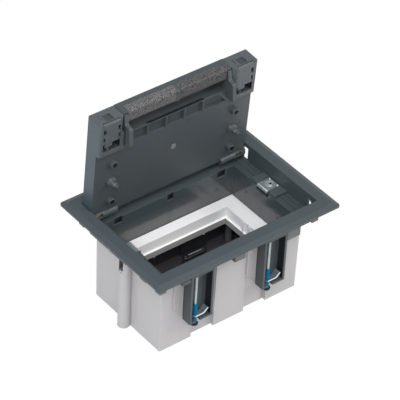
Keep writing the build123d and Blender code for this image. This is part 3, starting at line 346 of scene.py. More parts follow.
# Steel parts, zinc plated: a bright blue-white skin with a fine lie of scratches and patchy gloss.
# The levelling nuts are pressed into the box's round columns.
def plated_metal(name, colour, roughness, scratch_scale=900.0, stretch=(1, 1, 1), metallic=0.82):
    """Bright metal with a fine directional scratch and a patchy gloss."""
    finish = bpy.data.materials.new(name)
    finish.use_nodes = True
    tree = finish.node_tree
    shader = tree.nodes["Principled BSDF"]
    shader.inputs["Metallic"].default_value = metallic
    place = tree.nodes.new("ShaderNodeTexCoord")
    lie = tree.nodes.new("ShaderNodeMapping")
    lie.inputs["Scale"].default_value = stretch
    scratch = tree.nodes.new("ShaderNodeTexNoise")
    scratch.inputs["Scale"].default_value = scratch_scale
    scratch.inputs["Detail"].default_value = 4.0
    patch = tree.nodes.new("ShaderNodeTexNoise")
    patch.inputs["Scale"].default_value = 180.0
    tint = tree.nodes.new("ShaderNodeMix")
    tint.data_type = "RGBA"
    tint.inputs["A"].default_value = (*[channel * 0.86 for channel in colour], 1)
    tint.inputs["B"].default_value = (*colour, 1)
    gloss = tree.nodes.new("ShaderNodeMapRange")
    gloss.inputs["To Min"].default_value = roughness - 0.08
    gloss.inputs["To Max"].default_value = roughness + 0.12
    rounded = tree.nodes.new("ShaderNodeBevel")
    rounded.samples = 6
    rounded.inputs["Radius"].default_value = 0.00025
    bump = tree.nodes.new("ShaderNodeBump")
    bump.inputs["Strength"].default_value = 0.25
    bump.inputs["Distance"].default_value = 0.00004
    tree.links.new(place.outputs["Object"], lie.inputs["Vector"])
    tree.links.new(lie.outputs["Vector"], scratch.inputs["Vector"])
    tree.links.new(place.outputs["Object"], patch.inputs["Vector"])
    tree.links.new(patch.outputs["Fac"], tint.inputs["Factor"])
    tree.links.new(tint.outputs["Result"], shader.inputs["Base Color"])
    tree.links.new(patch.outputs["Fac"], gloss.inputs["Value"])
    tree.links.new(gloss.outputs["Result"], shader.inputs["Roughness"])
    tree.links.new(scratch.outputs["Fac"], bump.inputs["Height"])
    tree.links.new(rounded.outputs["Normal"], bump.inputs["Normal"])
    tree.links.new(bump.outputs["Normal"], shader.inputs["Normal"])
    return finish


zinc = plated_metal("zinc_plating", (0.58, 0.65, 0.67), 0.42, stretch=(1, 6, 1))
finish_nodes(zinc, "level_nuts")

# Cable clamp on the box floor: a moulded bar on two posts, which presses the cables down and is held by two
# slotted steel screws. Bar and screws are painted near black, as painted shade inside the box.
painted_bar_shade, painted_screw_shade = (0.016, 0.017, 0.018), (0.055, 0.055, 0.058)
bar_plastic = moulded_plastic("clamp_bar_plastic", painted_bar_shade, roughness=0.5)
finish_nodes(bar_plastic, "cable_clamp_bar")
shade_dark_steel = plated_metal("steel_in_painted_shade", painted_screw_shade, 0.5)
finish_nodes(shade_dark_steel, "cable_clamp_screws")

# A narrow zinc strip is let into the top of the bar between its screws. Its edge stands up and bites
# the cable's sheath.
strip_start, strip_end, strip_y = 0.0100, 0.0262, 0.0257
strip_foot, strip_half, strip_rise = 0.0168, 0.0004, 0.0009
flank, crest = 0.6 * strip_rise, 0.3 * strip_half
ridge = [(-strip_half, 0), (strip_half, 0), (strip_half, flank), (crest, strip_rise),
         (-crest, strip_rise), (-strip_half, flank)]
strip = bmesh.new()
closed_body(strip, [[(x, strip_y + y, strip_foot + z) for y, z in ridge]
                    for x in (strip_start, strip_end)])
strip_zinc = plated_metal("strip_zinc", (0.60, 0.62, 0.62), 0.5)
finished_piece("cable_bar_strip", strip, strip_zinc, "box")

# Floor frame: rim, tray, ledge and well in one moulding of slate grey plastic with a satin grain. Its well is
# moulded on a polished core, so the walls there are smoother, and the ejector pins have left round marks on
# them. Low on the well's walls a paler grey is painted in, a painted reflection of the white device frame.
frame_slate, painted_well_reflection = (0.056, 0.071, 0.078), (0.098, 0.100, 0.102)
painted_skirt_light = (0.135, 0.142, 0.147)
well_reflection_zone = ((0, 0.0740), (0, 0.0440), (0.0460, 0.0680))
well_gloss_zone = ((0, 0.07135), (0, 0.04185), (0.0500, 0.0822))
ledge_gloss_zone = ((0.0714, 0.0862), (0, 0.0600), (0.0790, 0.0990))
lit_skirt_zone = ((0, 0.1), (0.0555, 0.0610), (0.0680, 0.0806))
frame_plastic = moulded_plastic("frame_plastic", frame_slate)
recolour_zone(frame_plastic, painted_well_reflection, well_reflection_zone, fade=0.012)
polish_zone(frame_plastic, 0.13, well_gloss_zone)
polish_zone(frame_plastic, 0.26, ledge_gloss_zone)
# The tray's outer skirt is painted paler, as painted light.
recolour_zone(frame_plastic, painted_skirt_light, lit_skirt_zone)
finish_nodes(frame_plastic, "floor_frame")

# A tab hangs from the tray beside the left clamp channel. It is a plain block of the same plastic,
# with its edges chamfered.
tab_middle, tab_size = (-0.05775, -0.0540, 0.07785), (0.0095, 0.0068, 0.0045)
tab_chamfer = 0.0005
tab_plastic = moulded_plastic("tab_plastic", (0.080, 0.096, 0.103))
tab = bmesh.new()
bmesh.ops.create_cube(tab, size=1.0,
                      matrix=Matrix.Translation(tab_middle) @ Matrix.Diagonal((*tab_size, 1)))
bmesh.ops.bevel(tab, geom=tab.edges[:], offset=tab_chamfer, segments=2, affect="EDGES")
finished_piece("tray_tab", tab, tab_plastic, "frame")


def tree_with_finish(name, inputs, output):
    """A Geometry Nodes tree with named inputs, and the nodes at its two ends: the group's input, and
    the one that gives the result its finish."""
    tree = bpy.data.node_groups.new(name, "GeometryNodeTree")
    for label, kind, value in (*inputs, ("Finish", "Material", None)):
        socket = tree.interface.new_socket(name=label, in_out="INPUT", socket_type=f"NodeSocket{kind}")
        if value is not None:
            socket.default_value = value
    tree.interface.new_socket(name=output, in_out="OUTPUT", socket_type="NodeSocketGeometry")
    given = tree.nodes.new("NodeGroupInput")
    paint = tree.nodes.new("GeometryNodeSetMaterial")
    result = tree.nodes.new("NodeGroupOutput")
    tree.links.new(given.outputs["Finish"], paint.inputs["Material"])
    tree.links.new(paint.outputs["Geometry"], result.inputs[output])
    return tree, given, paint


def set_inputs(modifier, tree, values):
    """Sets a modifier's inputs by the identifiers of the tree's named sockets."""
    for item in tree.interface.items_tree:
        if item.item_type == "SOCKET" and item.in_out == "INPUT" and item.name in values:
            modifier[item.identifier] = values[item.name]


def made_piece(name, tree, values, points=(), faces=()):
    """The plain mesh that a Geometry Nodes tree makes, as a piece of its own."""
    start = bpy.data.meshes.new(name + "_start")
    start.from_pydata(points, [], faces)
    start.shade_smooth()
    holder = bpy.data.objects.new(name + "_start", start)
    bpy.context.scene.collection.objects.link(holder)
    modifier = holder.modifiers.new("make", "NODES")
    modifier.node_group = tree
    set_inputs(modifier, tree, values)
    finished = holder.evaluated_get(bpy.context.evaluated_depsgraph_get())
    mesh = bpy.data.meshes.new_from_object(finished)
    mesh.name = name
    bpy.data.objects.remove(holder)
    piece = bpy.data.objects.new(name, mesh)
    bpy.context.scene.collection.objects.link(piece)
    return piece


def mark_tree():
    """Tree that sets a low round button on each point, its axis along a given direction."""
    inputs = (("Points", "Geometry", None), ("Radius", "Float", 0.0018), ("Height", "Float", 0.0001),
              ("Direction", "Vector", (0, 0, 1)))
    tree, given, paint = tree_with_finish("round_marks", inputs, "Marks")
    to_points = tree.nodes.new("GeometryNodeMeshToPoints")
    button = tree.nodes.new("GeometryNodeMeshCylinder")
    button.inputs["Vertices"].default_value = 28
    turn = tree.nodes.new("FunctionNodeAlignEulerToVector")
    turn.axis = "Z"
    place = tree.nodes.new("GeometryNodeInstanceOnPoints")
    real = tree.nodes.new("GeometryNodeRealizeInstances")
    tree.links.new(given.outputs["Points"], to_points.inputs["Mesh"])
    tree.links.new(to_points.outputs["Points"], place.inputs["Points"])
    tree.links.new(given.outputs["Radius"], button.inputs["Radius"])
    tree.links.new(given.outputs["Height"], button.inputs["Depth"])
    tree.links.new(given.outputs["Direction"], turn.inputs["Vector"])
    tree.links.new(button.outputs["Mesh"], place.inputs["Instance"])
    tree.links.new(turn.outputs["Rotation"], place.inputs["Rotation"])
    tree.links.new(place.outputs["Instances"], real.inputs["Geometry"])
    tree.links.new(real.outputs["Geometry"], paint.inputs["Geometry"])
    return tree


marks = mark_tree()
mark_radius, mark_height = 0.0019, 0.00024
well_x, well_y = 0.0713, 0.0418
side_marks, side_level = (-0.0225, 0.0225), 0.0645
long_marks, long_level = (-0.0535, -0.018, 0.018, 0.0535), 0.0625
mark_places = {"right_wall": ((-1, 0, 0), [(well_x, y, side_level) for y in side_marks]),
               "left_wall": ((1, 0, 0), [(-well_x, y, side_level) for y in side_marks]),
               "back_wall": ((0, -1, 0), [(x, well_y, long_level) for x in long_marks]),
               "front_wall": ((0, 1, 0), [(x, -well_y, long_level) for x in long_marks])}
mark_plastic = moulded_plastic("mark_plastic", (0.060, 0.063, 0.066), roughness=0.34,
                               grain_depth=0.00002, edge=0.0002, mottling=0.03)
for wall, (direction, places) in mark_places.items():
    piece = made_piece(f"ejector_marks_{wall}", marks, {
        "Radius": mark_radius, "Height": mark_height, "Direction": direction,
        "Finish": mark_plastic}, places)
    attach(piece, "frame")

# Device frame: a smooth white moulding that snaps into the bottom of the well, with a step round its
# opening for the devices' edges and four small nubs under it that they catch on.
white, step_shade = (0.84, 0.836, 0.840), (0.34, 0.34, 0.33)
step_zone = ((0, 0.0545), (0, 0.0285), (0.0315, 0.0383))
white_plastic = moulded_plastic("white_plastic", white, roughness=0.34, grain=1200.0,
                                grain_depth=0.00001, edge=0.0004, mottling=0.01)
# The inner wall under the step is painted grey, as painted shade.
recolour_zone(white_plastic, step_shade, step_zone)
finish_nodes(white_plastic, "module_frame")
module_foot, opening_half = 0.0320, 0.0280
nub_places, nub_sunk, nub_taper, nub_gap = (-0.0264, 0.0298), 0.0002, 0.6, 0.02
nub_half, nub_height, nub_depth = 0.0009, 0.0011, 0.0014
nub_levels = ((module_foot + nub_sunk, 1.0), (module_foot - nub_height, nub_taper))
nubs = bmesh.new()
for x in nub_places:
    for sy in (-1, 1):
        closed_body(nubs, [[(x + a * nub_half * taper, sy * (opening_half + b * nub_depth), z)
                            for a, b in ((-1, nub_gap), (1, nub_gap), (1, 1), (-1, 1))]
                           for z, taper in nub_levels])
finished_piece("module_nubs", nubs, white_plastic, "frame")

# Saddles: moulded bridges that sit on the side ledges over the levelling screws. Each carries a clip plate of
# zinc plated strip, whose lip bends down into the saddle's shade, painted dark on the lip and higher up on
# the left plate.
slate = (0.058, 0.070, 0.076)
slate_plastic = moulded_plastic("slate_plastic", slate)
saddle_plastic = moulded_plastic("saddle_plastic", (0.066, 0.082, 0.090), roughness=0.36,
                                 grain_depth=0.00004, edge=0.0004)
finish_nodes(saddle_plastic, "saddle_left", "saddle_right")
clip_grey, lip_shade = (0.47, 0.53, 0.55), (0.035, 0.040, 0.043)
lip_x, lip_y, lip_low = (0, 0.0725), (0, 0.0100), 0.0700
for side, shade_top in (("left", 0.0849), ("right", 0.0829)):
    clip_zinc = plated_metal(f"clip_zinc_{side}", clip_grey, 0.46, stretch=(1, 6, 1))
    recolour_zone(clip_zinc, lip_shade, (lip_x, lip_y, (lip_low, shade_top)))
    finish_nodes(clip_zinc, f"clip_plate_{side}")


def turn_steps(count):
    """The angles of a full turn in equal steps."""
    return [2 * math.pi * k / count for k in range(count)]


# Each clip plate is pressed from zinc plated strip: its inner edge is rolled over, a ring is pressed
# up round the screw, and two small studs stand at its outer corners.
plate_top = 0.0851
roll_radius, roll_x, roll_half, roll_sides = 0.00102, 0.07107, 0.0072, 20
roll_z = plate_top - 0.00095
roll_bevel, roll_end = 0.0005, 0.55
roll_rows = ((-roll_half, roll_end), (-roll_half + roll_bevel, 1), (roll_half - roll_bevel, 1),
             (roll_half, roll_end))
ring_radius, ring_wire, ring_steps, wire_sides = 0.0041, 0.0002, 40, 8
stud_radius, stud_x, stud_y = 0.0009, 0.0835, 0.0055
level_x = 0.0795
roll_zinc = plated_metal("roll_zinc", (0.66, 0.70, 0.71), 0.40, stretch=(1, 6, 1), metallic=0.3)
dull_zinc_and_painted_shade = plated_metal("dull_zinc_and_painted_shade", (0.42, 0.47, 0.49), 0.50, metallic=0.3)
# The left trim is in the darker zinc, as painted shade; the right one is in the bright zinc.
for side, sx, trim_zinc in (("left", -1, dull_zinc_and_painted_shade), ("right", 1, roll_zinc)):
    trim = bmesh.new()
    closed_body(trim, [[(sx * roll_x + size * roll_radius * math.cos(a), y,
                         roll_z + size * roll_radius * math.sin(a)) for a in turn_steps(roll_sides)]
                       for y, size in roll_rows])
    hoop = []
    for a in turn_steps(ring_steps):
        reach = [(ring_radius + ring_wire * math.cos(b), ring_wire * math.sin(b))
                 for b in turn_steps(wire_sides)]
        hoop.append([trim.verts.new((sx * level_x + math.cos(a) * out, math.sin(a) * out, plate_top + up))
                     for out, up in reach])
    for row, following in zip(hoop, hoop[1:] + hoop[:1]):
        for k in range(wire_sides):
            ahead = (k + 1) % wire_sides
            trim.faces.new((row[k], following[k], following[ahead], row[ahead]))
    for sy in (-1, 1):
        bmesh.ops.create_uvsphere(trim, u_segments=16, v_segments=10, radius=stud_radius,
                                  matrix=Matrix.Translation((sx * stud_x, sy * stud_y, plate_top)))
    for face in trim.faces:
        face.smooth = True
    finished_piece(f"clip_trim_{side}", trim, trim_zinc, "frame")


# Screws of the clamps and of the levelling: rolled steel, zinc plated, threaded up to the head.
# The head is the CAD screw's own, and the shank under it is cut again with its thread.
def thread_tree():
    """Tree that makes an upright threaded rod: a tube whose radius runs up and down along a helix."""
    inputs = (("Outer Radius", "Float", 0.0015), ("Thread Depth", "Float", 0.0003),
              ("Pitch", "Float", 0.0007), ("Length", "Float", 0.05), ("Rows", "Int", 300),
              ("Middle", "Vector", (0, 0, 0)))
    tree, given, paint = tree_with_finish("threaded_rod", inputs, "Rod")
    tube = tree.nodes.new("GeometryNodeMeshCylinder")
    tube.inputs["Vertices"].default_value = 18
    tube.inputs["Radius"].default_value = 1.0
    place = tree.nodes.new("GeometryNodeInputPosition")
    parts = tree.nodes.new("ShaderNodeSeparateXYZ")
    move = tree.nodes.new("GeometryNodeSetPosition")
    joined = tree.nodes.new("ShaderNodeCombineXYZ")
    carry = tree.nodes.new("GeometryNodeTransform")

    def worked_out(operation, first, second):
        """The result of a Math node on two numbers or sockets."""
        node = tree.nodes.new("ShaderNodeMath")
        node.operation = operation
        for k, value in enumerate((first, second)):
            if isinstance(value, (int, float)):
                node.inputs[k].default_value = value
            else:
                tree.links.new(value, node.inputs[k])
        return node.outputs[0]

    tree.links.new(given.outputs["Length"], tube.inputs["Depth"])
    tree.links.new(given.outputs["Rows"], tube.inputs["Side Segments"])
    tree.links.new(place.outputs[0], parts.inputs[0])
    angle = worked_out("ARCTAN2", parts.outputs["Y"], parts.outputs["X"])
    phase = worked_out("SUBTRACT", worked_out("DIVIDE", parts.outputs["Z"], given.outputs["Pitch"]),
                       worked_out("DIVIDE", angle, 2 * math.pi))
    valley = worked_out("MULTIPLY", worked_out("PINGPONG", phase, 0.5), 2.0)
    radius = worked_out("SUBTRACT", given.outputs["Outer Radius"],
                        worked_out("MULTIPLY", valley, given.outputs["Thread Depth"]))
    tree.links.new(worked_out("MULTIPLY", parts.outputs["X"], radius), joined.inputs["X"])
    tree.links.new(worked_out("MULTIPLY", parts.outputs["Y"], radius), joined.inputs["Y"])
    tree.links.new(parts.outputs["Z"], joined.inputs["Z"])
    tree.links.new(tube.outputs["Mesh"], move.inputs["Geometry"])
    tree.links.new(joined.outputs[0], move.inputs["Position"])
    tree.links.new(move.outputs["Geometry"], carry.inputs["Geometry"])
    tree.links.new(given.outputs["Middle"], carry.inputs["Translation"])
    tree.links.new(carry.outputs["Geometry"], paint.inputs["Geometry"])
    return tree


threads = thread_tree()
thread_pitch = 0.0007
thread_depth = 0.00022
rows_per_turn = 6
thread_in_head, cut_over_seat = 0.0003, 0.0001


def threaded_screw(name, seat_z, radius, finish):
    """The CAD screw's head with a threaded shank under it, in place of the CAD screw."""
    low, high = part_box(name)
    turns = math.ceil((seat_z + thread_in_head - low.z) / thread_pitch)
    length = turns * thread_pitch
    rod = made_piece(f"{name}_thread", threads, {
        "Outer Radius": radius, "Thread Depth": thread_depth, "Pitch": thread_pitch, "Length": length,
        "Rows": turns * rows_per_turn, "Finish": finish,
        "Middle": ((low.x + high.x) / 2, (low.y + high.y) / 2, low.z + length / 2)})
    head = bmesh.new()
    head.from_mesh(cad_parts[name].data)
    bmesh.ops.remove_doubles(head, verts=head.verts, dist=1e-6)
    bmesh.ops.bisect_plane(head, geom=head.verts[:] + head.edges[:] + head.faces[:],
                           plane_co=(0, 0, seat_z + cut_over_seat), plane_no=(0, 0, 1), clear_inner=True)
    bmesh.ops.holes_fill(head, edges=[edge for edge in head.edges if edge.is_boundary])
    for face in head.faces:
        face.smooth = False
        face.material_index = rod.data.polygons[0].material_index
    head.from_mesh(rod.data)
    head.to_mesh(rod.data)
    head.free()
    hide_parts(name)
    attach(rod, name)


level_seat_z, level_radius = 0.0839, 0.0020
for side in ("left", "right"):
    threaded_screw(f"level_screw_{side}", level_seat_z, level_radius, dull_zinc_and_painted_shade)
# Near black discs sit in the levelling screws' sockets, as painted shade in them.
socket_radius, socket_z, shade_height = 0.00135, 0.08535, 0.0001
deep_shade = moulded_plastic("deep_shade", (0.010, 0.011, 0.012), roughness=0.6, grain=900.0,
                             grain_depth=0.00002, edge=0.0002, mottling=0.03, gleam=0.1)
socket_shade_discs = made_piece("level_screw_socket_shade", marks, {
    "Radius": socket_radius, "Height": shade_height, "Direction": (0, 0, 1), "Finish": deep_shade},
    [(x, 0, socket_z) for x in (-level_x, level_x)])
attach(socket_shade_discs, "frame")

# Claw clamps: a zinc screw with a black foot disc, a blue plastic nut and a bent zinc claw. They work in open
# channels under the ledge, whose inside lies in the rim's shade; that shade is painted on the channels' side
# walls.
channel_shade = (0.009, 0.012, 0.014)
channel_walls, skin = (0.0302, 0.0508), 0.0002
for end, face_y in (("front", 0.0574), ("back", 0.0603)):
    channel_plastic = moulded_plastic(f"channel_plastic_{end}", slate)
    for wall_x in channel_walls:
        recolour_zone(channel_plastic, channel_shade, ((wall_x - skin, wall_x + skin), (0, face_y), (0, 0.1)))
    finish_nodes(channel_plastic, f"clamp_channel_{end}_left", f"clamp_channel_{end}_right")
nut_blue, disc_black = (0.0, 0.135, 0.265), (0.012, 0.012, 0.013)
blue_plastic = moulded_plastic("blue_plastic", nut_blue, roughness=0.45, grain=1500.0,
                               grain_depth=0.00002, edge=0.0003, mottling=0.03, gleam=0.08)
black_plastic = moulded_plastic("black_plastic", disc_black, roughness=0.45, grain=1500.0,
                                grain_depth=0.00002, edge=0.0003, mottling=0.03)
clamp_seat_z, clamp_radius = 0.0825, 0.0015
# The claws' zinc is painted dark, a painted reflection of the dark surround, and a thin band along their
# front edge is painted near white, a painted highlight.
painted_claw_reflection, painted_edge_highlight, edge_half = (0.21, 0.26, 0.30), (0.90, 0.93, 0.94), 0.0001
for corner in ("front_left", "front_right", "back_left", "back_right"):
    threaded_screw(f"clamp_screw_{corner}", clamp_seat_z, clamp_radius, zinc)
    claw_low, claw_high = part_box(f"clamp_claw_{corner}")
    claw_front = max(abs(claw_low.y), abs(claw_high.y))
    claw_zinc = plated_metal(f"claw_zinc_{corner}", painted_claw_reflection, 0.40, stretch=(1, 1, 6), metallic=0.5)
    recolour_zone(claw_zinc, painted_edge_highlight,
                  ((0, 0.1), (claw_front - edge_half, claw_front + edge_half), (0, 0.1)))
    finish_nodes(claw_zinc, f"clamp_claw_{corner}")
    finish_nodes(blue_plastic, f"clamp_nut_{corner}")
    finish_nodes(black_plastic, f"clamp_disc_{corner}")

# Lid: a slate grey moulding with a steel plate in its carpet recess, on two brass pins. The latches slide in
# blocks at its front corners, and the pockets round them are painted near black, as painted shade.
sheet_steel = plated_metal("galvanised_sheet", (0.50, 0.51, 0.52), 0.42, 300.0, (1, 1, 9))
brass = plated_metal("turned_brass", (0.78, 0.54, 0.18), 0.28, 1500.0, (9, 1, 1))
# Latches and their blocks are painted a paler slate than the lid, as painted light on them.
latch_plastic = moulded_plastic("latch_plastic", (0.080, 0.092, 0.098), roughness=0.40,
                                grain_depth=0.00004)
pocket_shade, painted_recess_shade, painted_cool_light = (0.008, 0.009, 0.010), (0.052, 0.062, 0.068), (0.047, 0.071, 0.084)
outlet_shade, painted_panel_shade = (0.010, 0.012, 0.013), (0.042, 0.053, 0.058)
pocket_x = (0.0625, 0.0812)
outer_face = (0.0069, 0.0073)  # the same way out from the hinge's axis as the pockets, and not dark
for pocket_y, low, high in (((0.0750, 0.0845), 0.0015, 0.0098), ((0.0860, 0.1040), 0.0030, 0.0083)):
    for pocket_z in ((low, outer_face[0]), (outer_face[1], high)):
        recolour_zone(latch_plastic, pocket_shade, (pocket_x, pocket_y, pocket_z), turned=lid_frame)
key_recess_zone = ((0, 0.09), (0.1040, 0.1047), (0, 0.0070))
cool_lit_side_zone = ((0.0846, 0.0850), (0, 0.1), (0.06, 0.21))
outlet_zone = ((0, 0.0310), (0.0822, 0.0828), (0.0040, 0.0066))
panel_zone = ((0, 0.0580), (0.0690, 0.0812), (0.0041, 0.0045))
# The floor of the recess at each latch block's front end is painted darker, as painted shade.
recolour_zone(latch_plastic, painted_recess_shade, key_recess_zone, turned=lid_frame)
# The end faces of lid and latches are painted bluer, as painted light of the cool lamp on the left.
for plastic in (latch_plastic, slate_plastic):
    recolour_zone(plastic, painted_cool_light, cool_lit_side_zone)
# A band beside the cable outlet is painted near black, as painted shade.
recolour_zone(slate_plastic, outlet_shade, outlet_zone, turned=lid_frame)
# The panel's recess between the gussets is painted darker, as painted shade.
recolour_zone(slate_plastic, painted_panel_shade, panel_zone, turned=lid_frame)
finish_nodes(slate_plastic, "lid_shell", "cable_flap")
finish_nodes(latch_plastic, "latch_block_left", "latch_block_right", "latch_left", "latch_right")
finish_nodes(sheet_steel, "lid_plate")
finish_nodes(brass, "hinge_pin_left", "hinge_pin_right")


def body_grid():
    """Tree that repeats a body on a grid of places."""
    inputs = (("Body", "Geometry", None), ("Span X", "Float", 0.1), ("Span Y", "Float", 0.1),
              ("Columns", "Int", 2), ("Rows", "Int", 2), ("Middle", "Vector", (0, 0, 0)))
    tree, given, paint = tree_with_finish("body_grid", inputs, "Bodies")
    grid = tree.nodes.new("GeometryNodeMeshGrid")
    carry = tree.nodes.new("GeometryNodeTransform")
    place = tree.nodes.new("GeometryNodeInstanceOnPoints")
    real = tree.nodes.new("GeometryNodeRealizeInstances")
    tree.links.new(given.outputs["Span X"], grid.inputs["Size X"])
    tree.links.new(given.outputs["Span Y"], grid.inputs["Size Y"])
    tree.links.new(given.outputs["Columns"], grid.inputs["Vertices X"])
    tree.links.new(given.outputs["Rows"], grid.inputs["Vertices Y"])
    tree.links.new(grid.outputs["Mesh"], carry.inputs["Geometry"])
    tree.links.new(given.outputs["Middle"], carry.inputs["Translation"])
    tree.links.new(carry.outputs["Geometry"], place.inputs["Points"])
    tree.links.new(given.outputs["Body"], place.inputs["Instance"])
    tree.links.new(place.outputs["Instances"], real.inputs["Geometry"])
    tree.links.new(real.outputs["Geometry"], paint.inputs["Geometry"])
    return tree


def turned_body(profile, around=32):
    """Points and faces of a body turned round the z axis from a profile of radii and heights."""
    points = [(radius * math.cos(a), radius * math.sin(a), height)
              for radius, height in profile for a in turn_steps(around)]
    faces = []
    for row in range(0, (len(profile) - 1) * around, around):
        for k in range(around):
            ahead = (k + 1) % around
            faces.append((row + k, row + ahead, row + around + ahead, row + around + k))
    faces.append(tuple(range((len(profile) - 1) * around, len(profile) * around)))
    return points, faces


# The bosses take screws from the carpet side: a ring with rounded edges round a deep blind bore.
# The studs between them are turned like a bell, with a short pin on a flared foot.
bodies = body_grid()
lid_down = -(lid_frame.to_3x3() @ Vector((0, 0, 1)))
underside = -0.0065
boss_x, boss_rear, boss_front, stud_reach = 0.0662, 0.0124, 0.0548, 0.0340
boss_outer, boss_bore, boss_rise, boss_round = 0.00365, 0.0022, 0.0043, 0.0003
boss_foot, boss_foot_rise, bore_depth, bore_floor = 0.0037, 0.0006, 0.0042, 0.00422
boss_plastic = moulded_plastic("boss_plastic", slate, roughness=0.30, grain_depth=0.00002, edge=0.0002)
boss_profile = [(boss_foot, 0), (boss_foot, -boss_foot_rise), (boss_outer, -boss_rise + boss_round),
                (boss_outer - boss_round, -boss_rise), (boss_bore + boss_round, -boss_rise),
                (boss_bore, -boss_rise + boss_round), (boss_bore, -bore_depth)]
rings = made_piece("lid_boss_rings", bodies, {
    "Span X": 2 * boss_x, "Span Y": boss_front - boss_rear, "Columns": 2, "Rows": 2,
    "Middle": (0, -(boss_front + boss_rear) / 2, underside), "Finish": boss_plastic},
    *turned_body(boss_profile))
stud_profile = [(0.0049, 0), (0.0048, -0.0012), (0.00465, -0.0022), (0.0043, -0.0027), (0.0036, -0.00295),
                (0.0030, -0.0033), (0.0028, -0.0040), (0.0028, -0.0078), (0.0025, -0.0082), (0.0018, -0.0083),
                (0.0018, -0.0100), (0.0015, -0.0103)]
studs = made_piece("lid_studs", bodies, {
    "Span X": 2 * boss_x, "Span Y": 0.0, "Columns": 2, "Rows": 1,
    "Middle": (0, -stud_reach, underside), "Finish": boss_plastic}, *turned_body(stud_profile))

# Four low gussets stiffen the panel between the bosses and the cable outlet. They taper toward their
# crest.
gusset_half, gusset_rise, gusset_sunk, gusset_crest = 0.0008, 0.0006, 0.0022, 0.8
gusset_reach, gusset_row, gusset_count, gusset_span = 0.0054, 0.0754, 4, 0.0600
gusset_points = [(x * gusset_half * taper, y * gusset_reach, z)
                 for z, taper in ((gusset_sunk, 1.0), (-gusset_rise, gusset_crest))
                 for x, y in ((-1, -1), (1, -1), (1, 1), (-1, 1))]
gusset_faces = [(4, 5, 6, 7), *[(k, (k + 1) % 4, (k + 1) % 4 + 4, k + 4) for k in range(4)]]
gussets = made_piece("lid_gussets", bodies, {
    "Span X": gusset_span, "Span Y": 0.0, "Columns": gusset_count, "Rows": 1,
    "Middle": (0, -gusset_row, underside), "Finish": saddle_plastic}, gusset_points, gusset_faces)
for piece in (rings, studs, gussets):
    piece.data.transform(lid_frame)
for piece in (rings, studs):
    piece.data.set_sharp_from_angle(angle=math.radians(40))
gussets.data.shade_flat()
# A thin near black disc sits deep in each bore, as painted shade.
bore_shade_discs = made_piece("lid_boss_bore_shade", marks, {
    "Radius": boss_bore, "Height": shade_height, "Direction": lid_down, "Finish": deep_shade},
    [lid_frame @ Vector((x, -y, underside - bore_floor))
     for x in (-boss_x, boss_x) for y in (boss_rear, boss_front)])
for piece in (rings, studs, gussets, bore_shade_discs):
    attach(piece, "lid")

# In the middle of the lid's underside the injection gate has left a scar, pared down by hand and rough,
# and the ejector pins have left two rows of round marks.
gate_place, gate_radius, gate_height = (0.0006, -0.0427, underside), 0.0027, 0.0008
gate_plastic = moulded_plastic("gate_scar", (0.22, 0.225, 0.23), roughness=0.55, grain=900.0,
                               grain_depth=0.0003, edge=0.0003, mottling=0.45)
gate = made_piece("gate_scar", marks, {
    "Radius": gate_radius, "Height": gate_height, "Direction": lid_down, "Finish": gate_plastic},
    [lid_frame @ Vector(gate_place)])
lid_mark_radius, lid_mark_rows = 0.0016, (-0.0135, -0.0630)
lid_mark_columns = (-0.0500, -0.0170, 0.0170, 0.0500)
lid_marks = made_piece("lid_ejector_marks", marks, {
    "Radius": lid_mark_radius, "Height": mark_height, "Direction": lid_down, "Finish": slate_plastic},
    [lid_frame @ Vector((x, y, underside)) for y in lid_mark_rows for x in lid_mark_columns])
for piece in (gate, lid_marks):
    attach(piece, "lid")


# Latch springs: a short coil of zinc plated wire behind each latch, between its tab and the block's
# end wall. It drives the latch's nose into the frame, and is squeezed when the latch is drawn back.
def spring_tree():
    """Tree that winds a wire round a straight axis."""
    inputs = (("Radius", "Float", 0.0013), ("Wire", "Float", 0.0002), ("Length", "Float", 0.004),
              ("Turns", "Float", 5.0))
    tree, given, paint = tree_with_finish("wound_spring", inputs, "Spring")
    coil = tree.nodes.new("GeometryNodeCurveSpiral")
    coil.inputs["Resolution"].default_value = 18
    section = tree.nodes.new("GeometryNodeCurvePrimitiveCircle")
    section.inputs["Resolution"].default_value = 8
    wound = tree.nodes.new("GeometryNodeCurveToMesh")
    wound.inputs["Fill Caps"].default_value = True
    tree.links.new(given.outputs["Turns"], coil.inputs["Rotations"])
    tree.links.new(given.outputs["Radius"], coil.inputs["Start Radius"])
    tree.links.new(given.outputs["Radius"], coil.inputs["End Radius"])
    tree.links.new(given.outputs["Length"], coil.inputs["Height"])
    tree.links.new(given.outputs["Wire"], section.inputs["Radius"])
    tree.links.new(coil.outputs["Curve"], wound.inputs["Curve"])
    tree.links.new(section.outputs["Curve"], wound.inputs["Profile Curve"])
    tree.links.new(wound.outputs["Mesh"], paint.inputs["Geometry"])
    return tree


springs = spring_tree()
# The wire is painted dark, as painted shade in the pocket round it.
spring_zinc_in_painted_shade = plated_metal("spring_wire", (0.14, 0.145, 0.15), 0.40)
spring_radius, spring_wire, spring_turns, squeezed = 0.0012, 0.00025, 4.5, 0.42
latch_x, tab_offset = 0.0719, -0.0030
spring_front, spring_back, spring_level = -0.0792, -0.0752, -0.0088
for side, sx in (("left", -1), ("right", 1)):
    spring = made_piece(f"latch_spring_{side}", springs, {
        "Radius": spring_radius, "Wire": spring_wire, "Length": spring_back - spring_front,
        "Turns": spring_turns, "Finish": spring_zinc_in_painted_shade})
    start = Matrix.Translation((sx * latch_x + tab_offset, spring_front, spring_level))
    spring.data.transform(lid_frame @ start @ Matrix.Rotation(math.radians(-90), 4, "X"))
    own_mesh(spring)
    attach(spring, "lid")

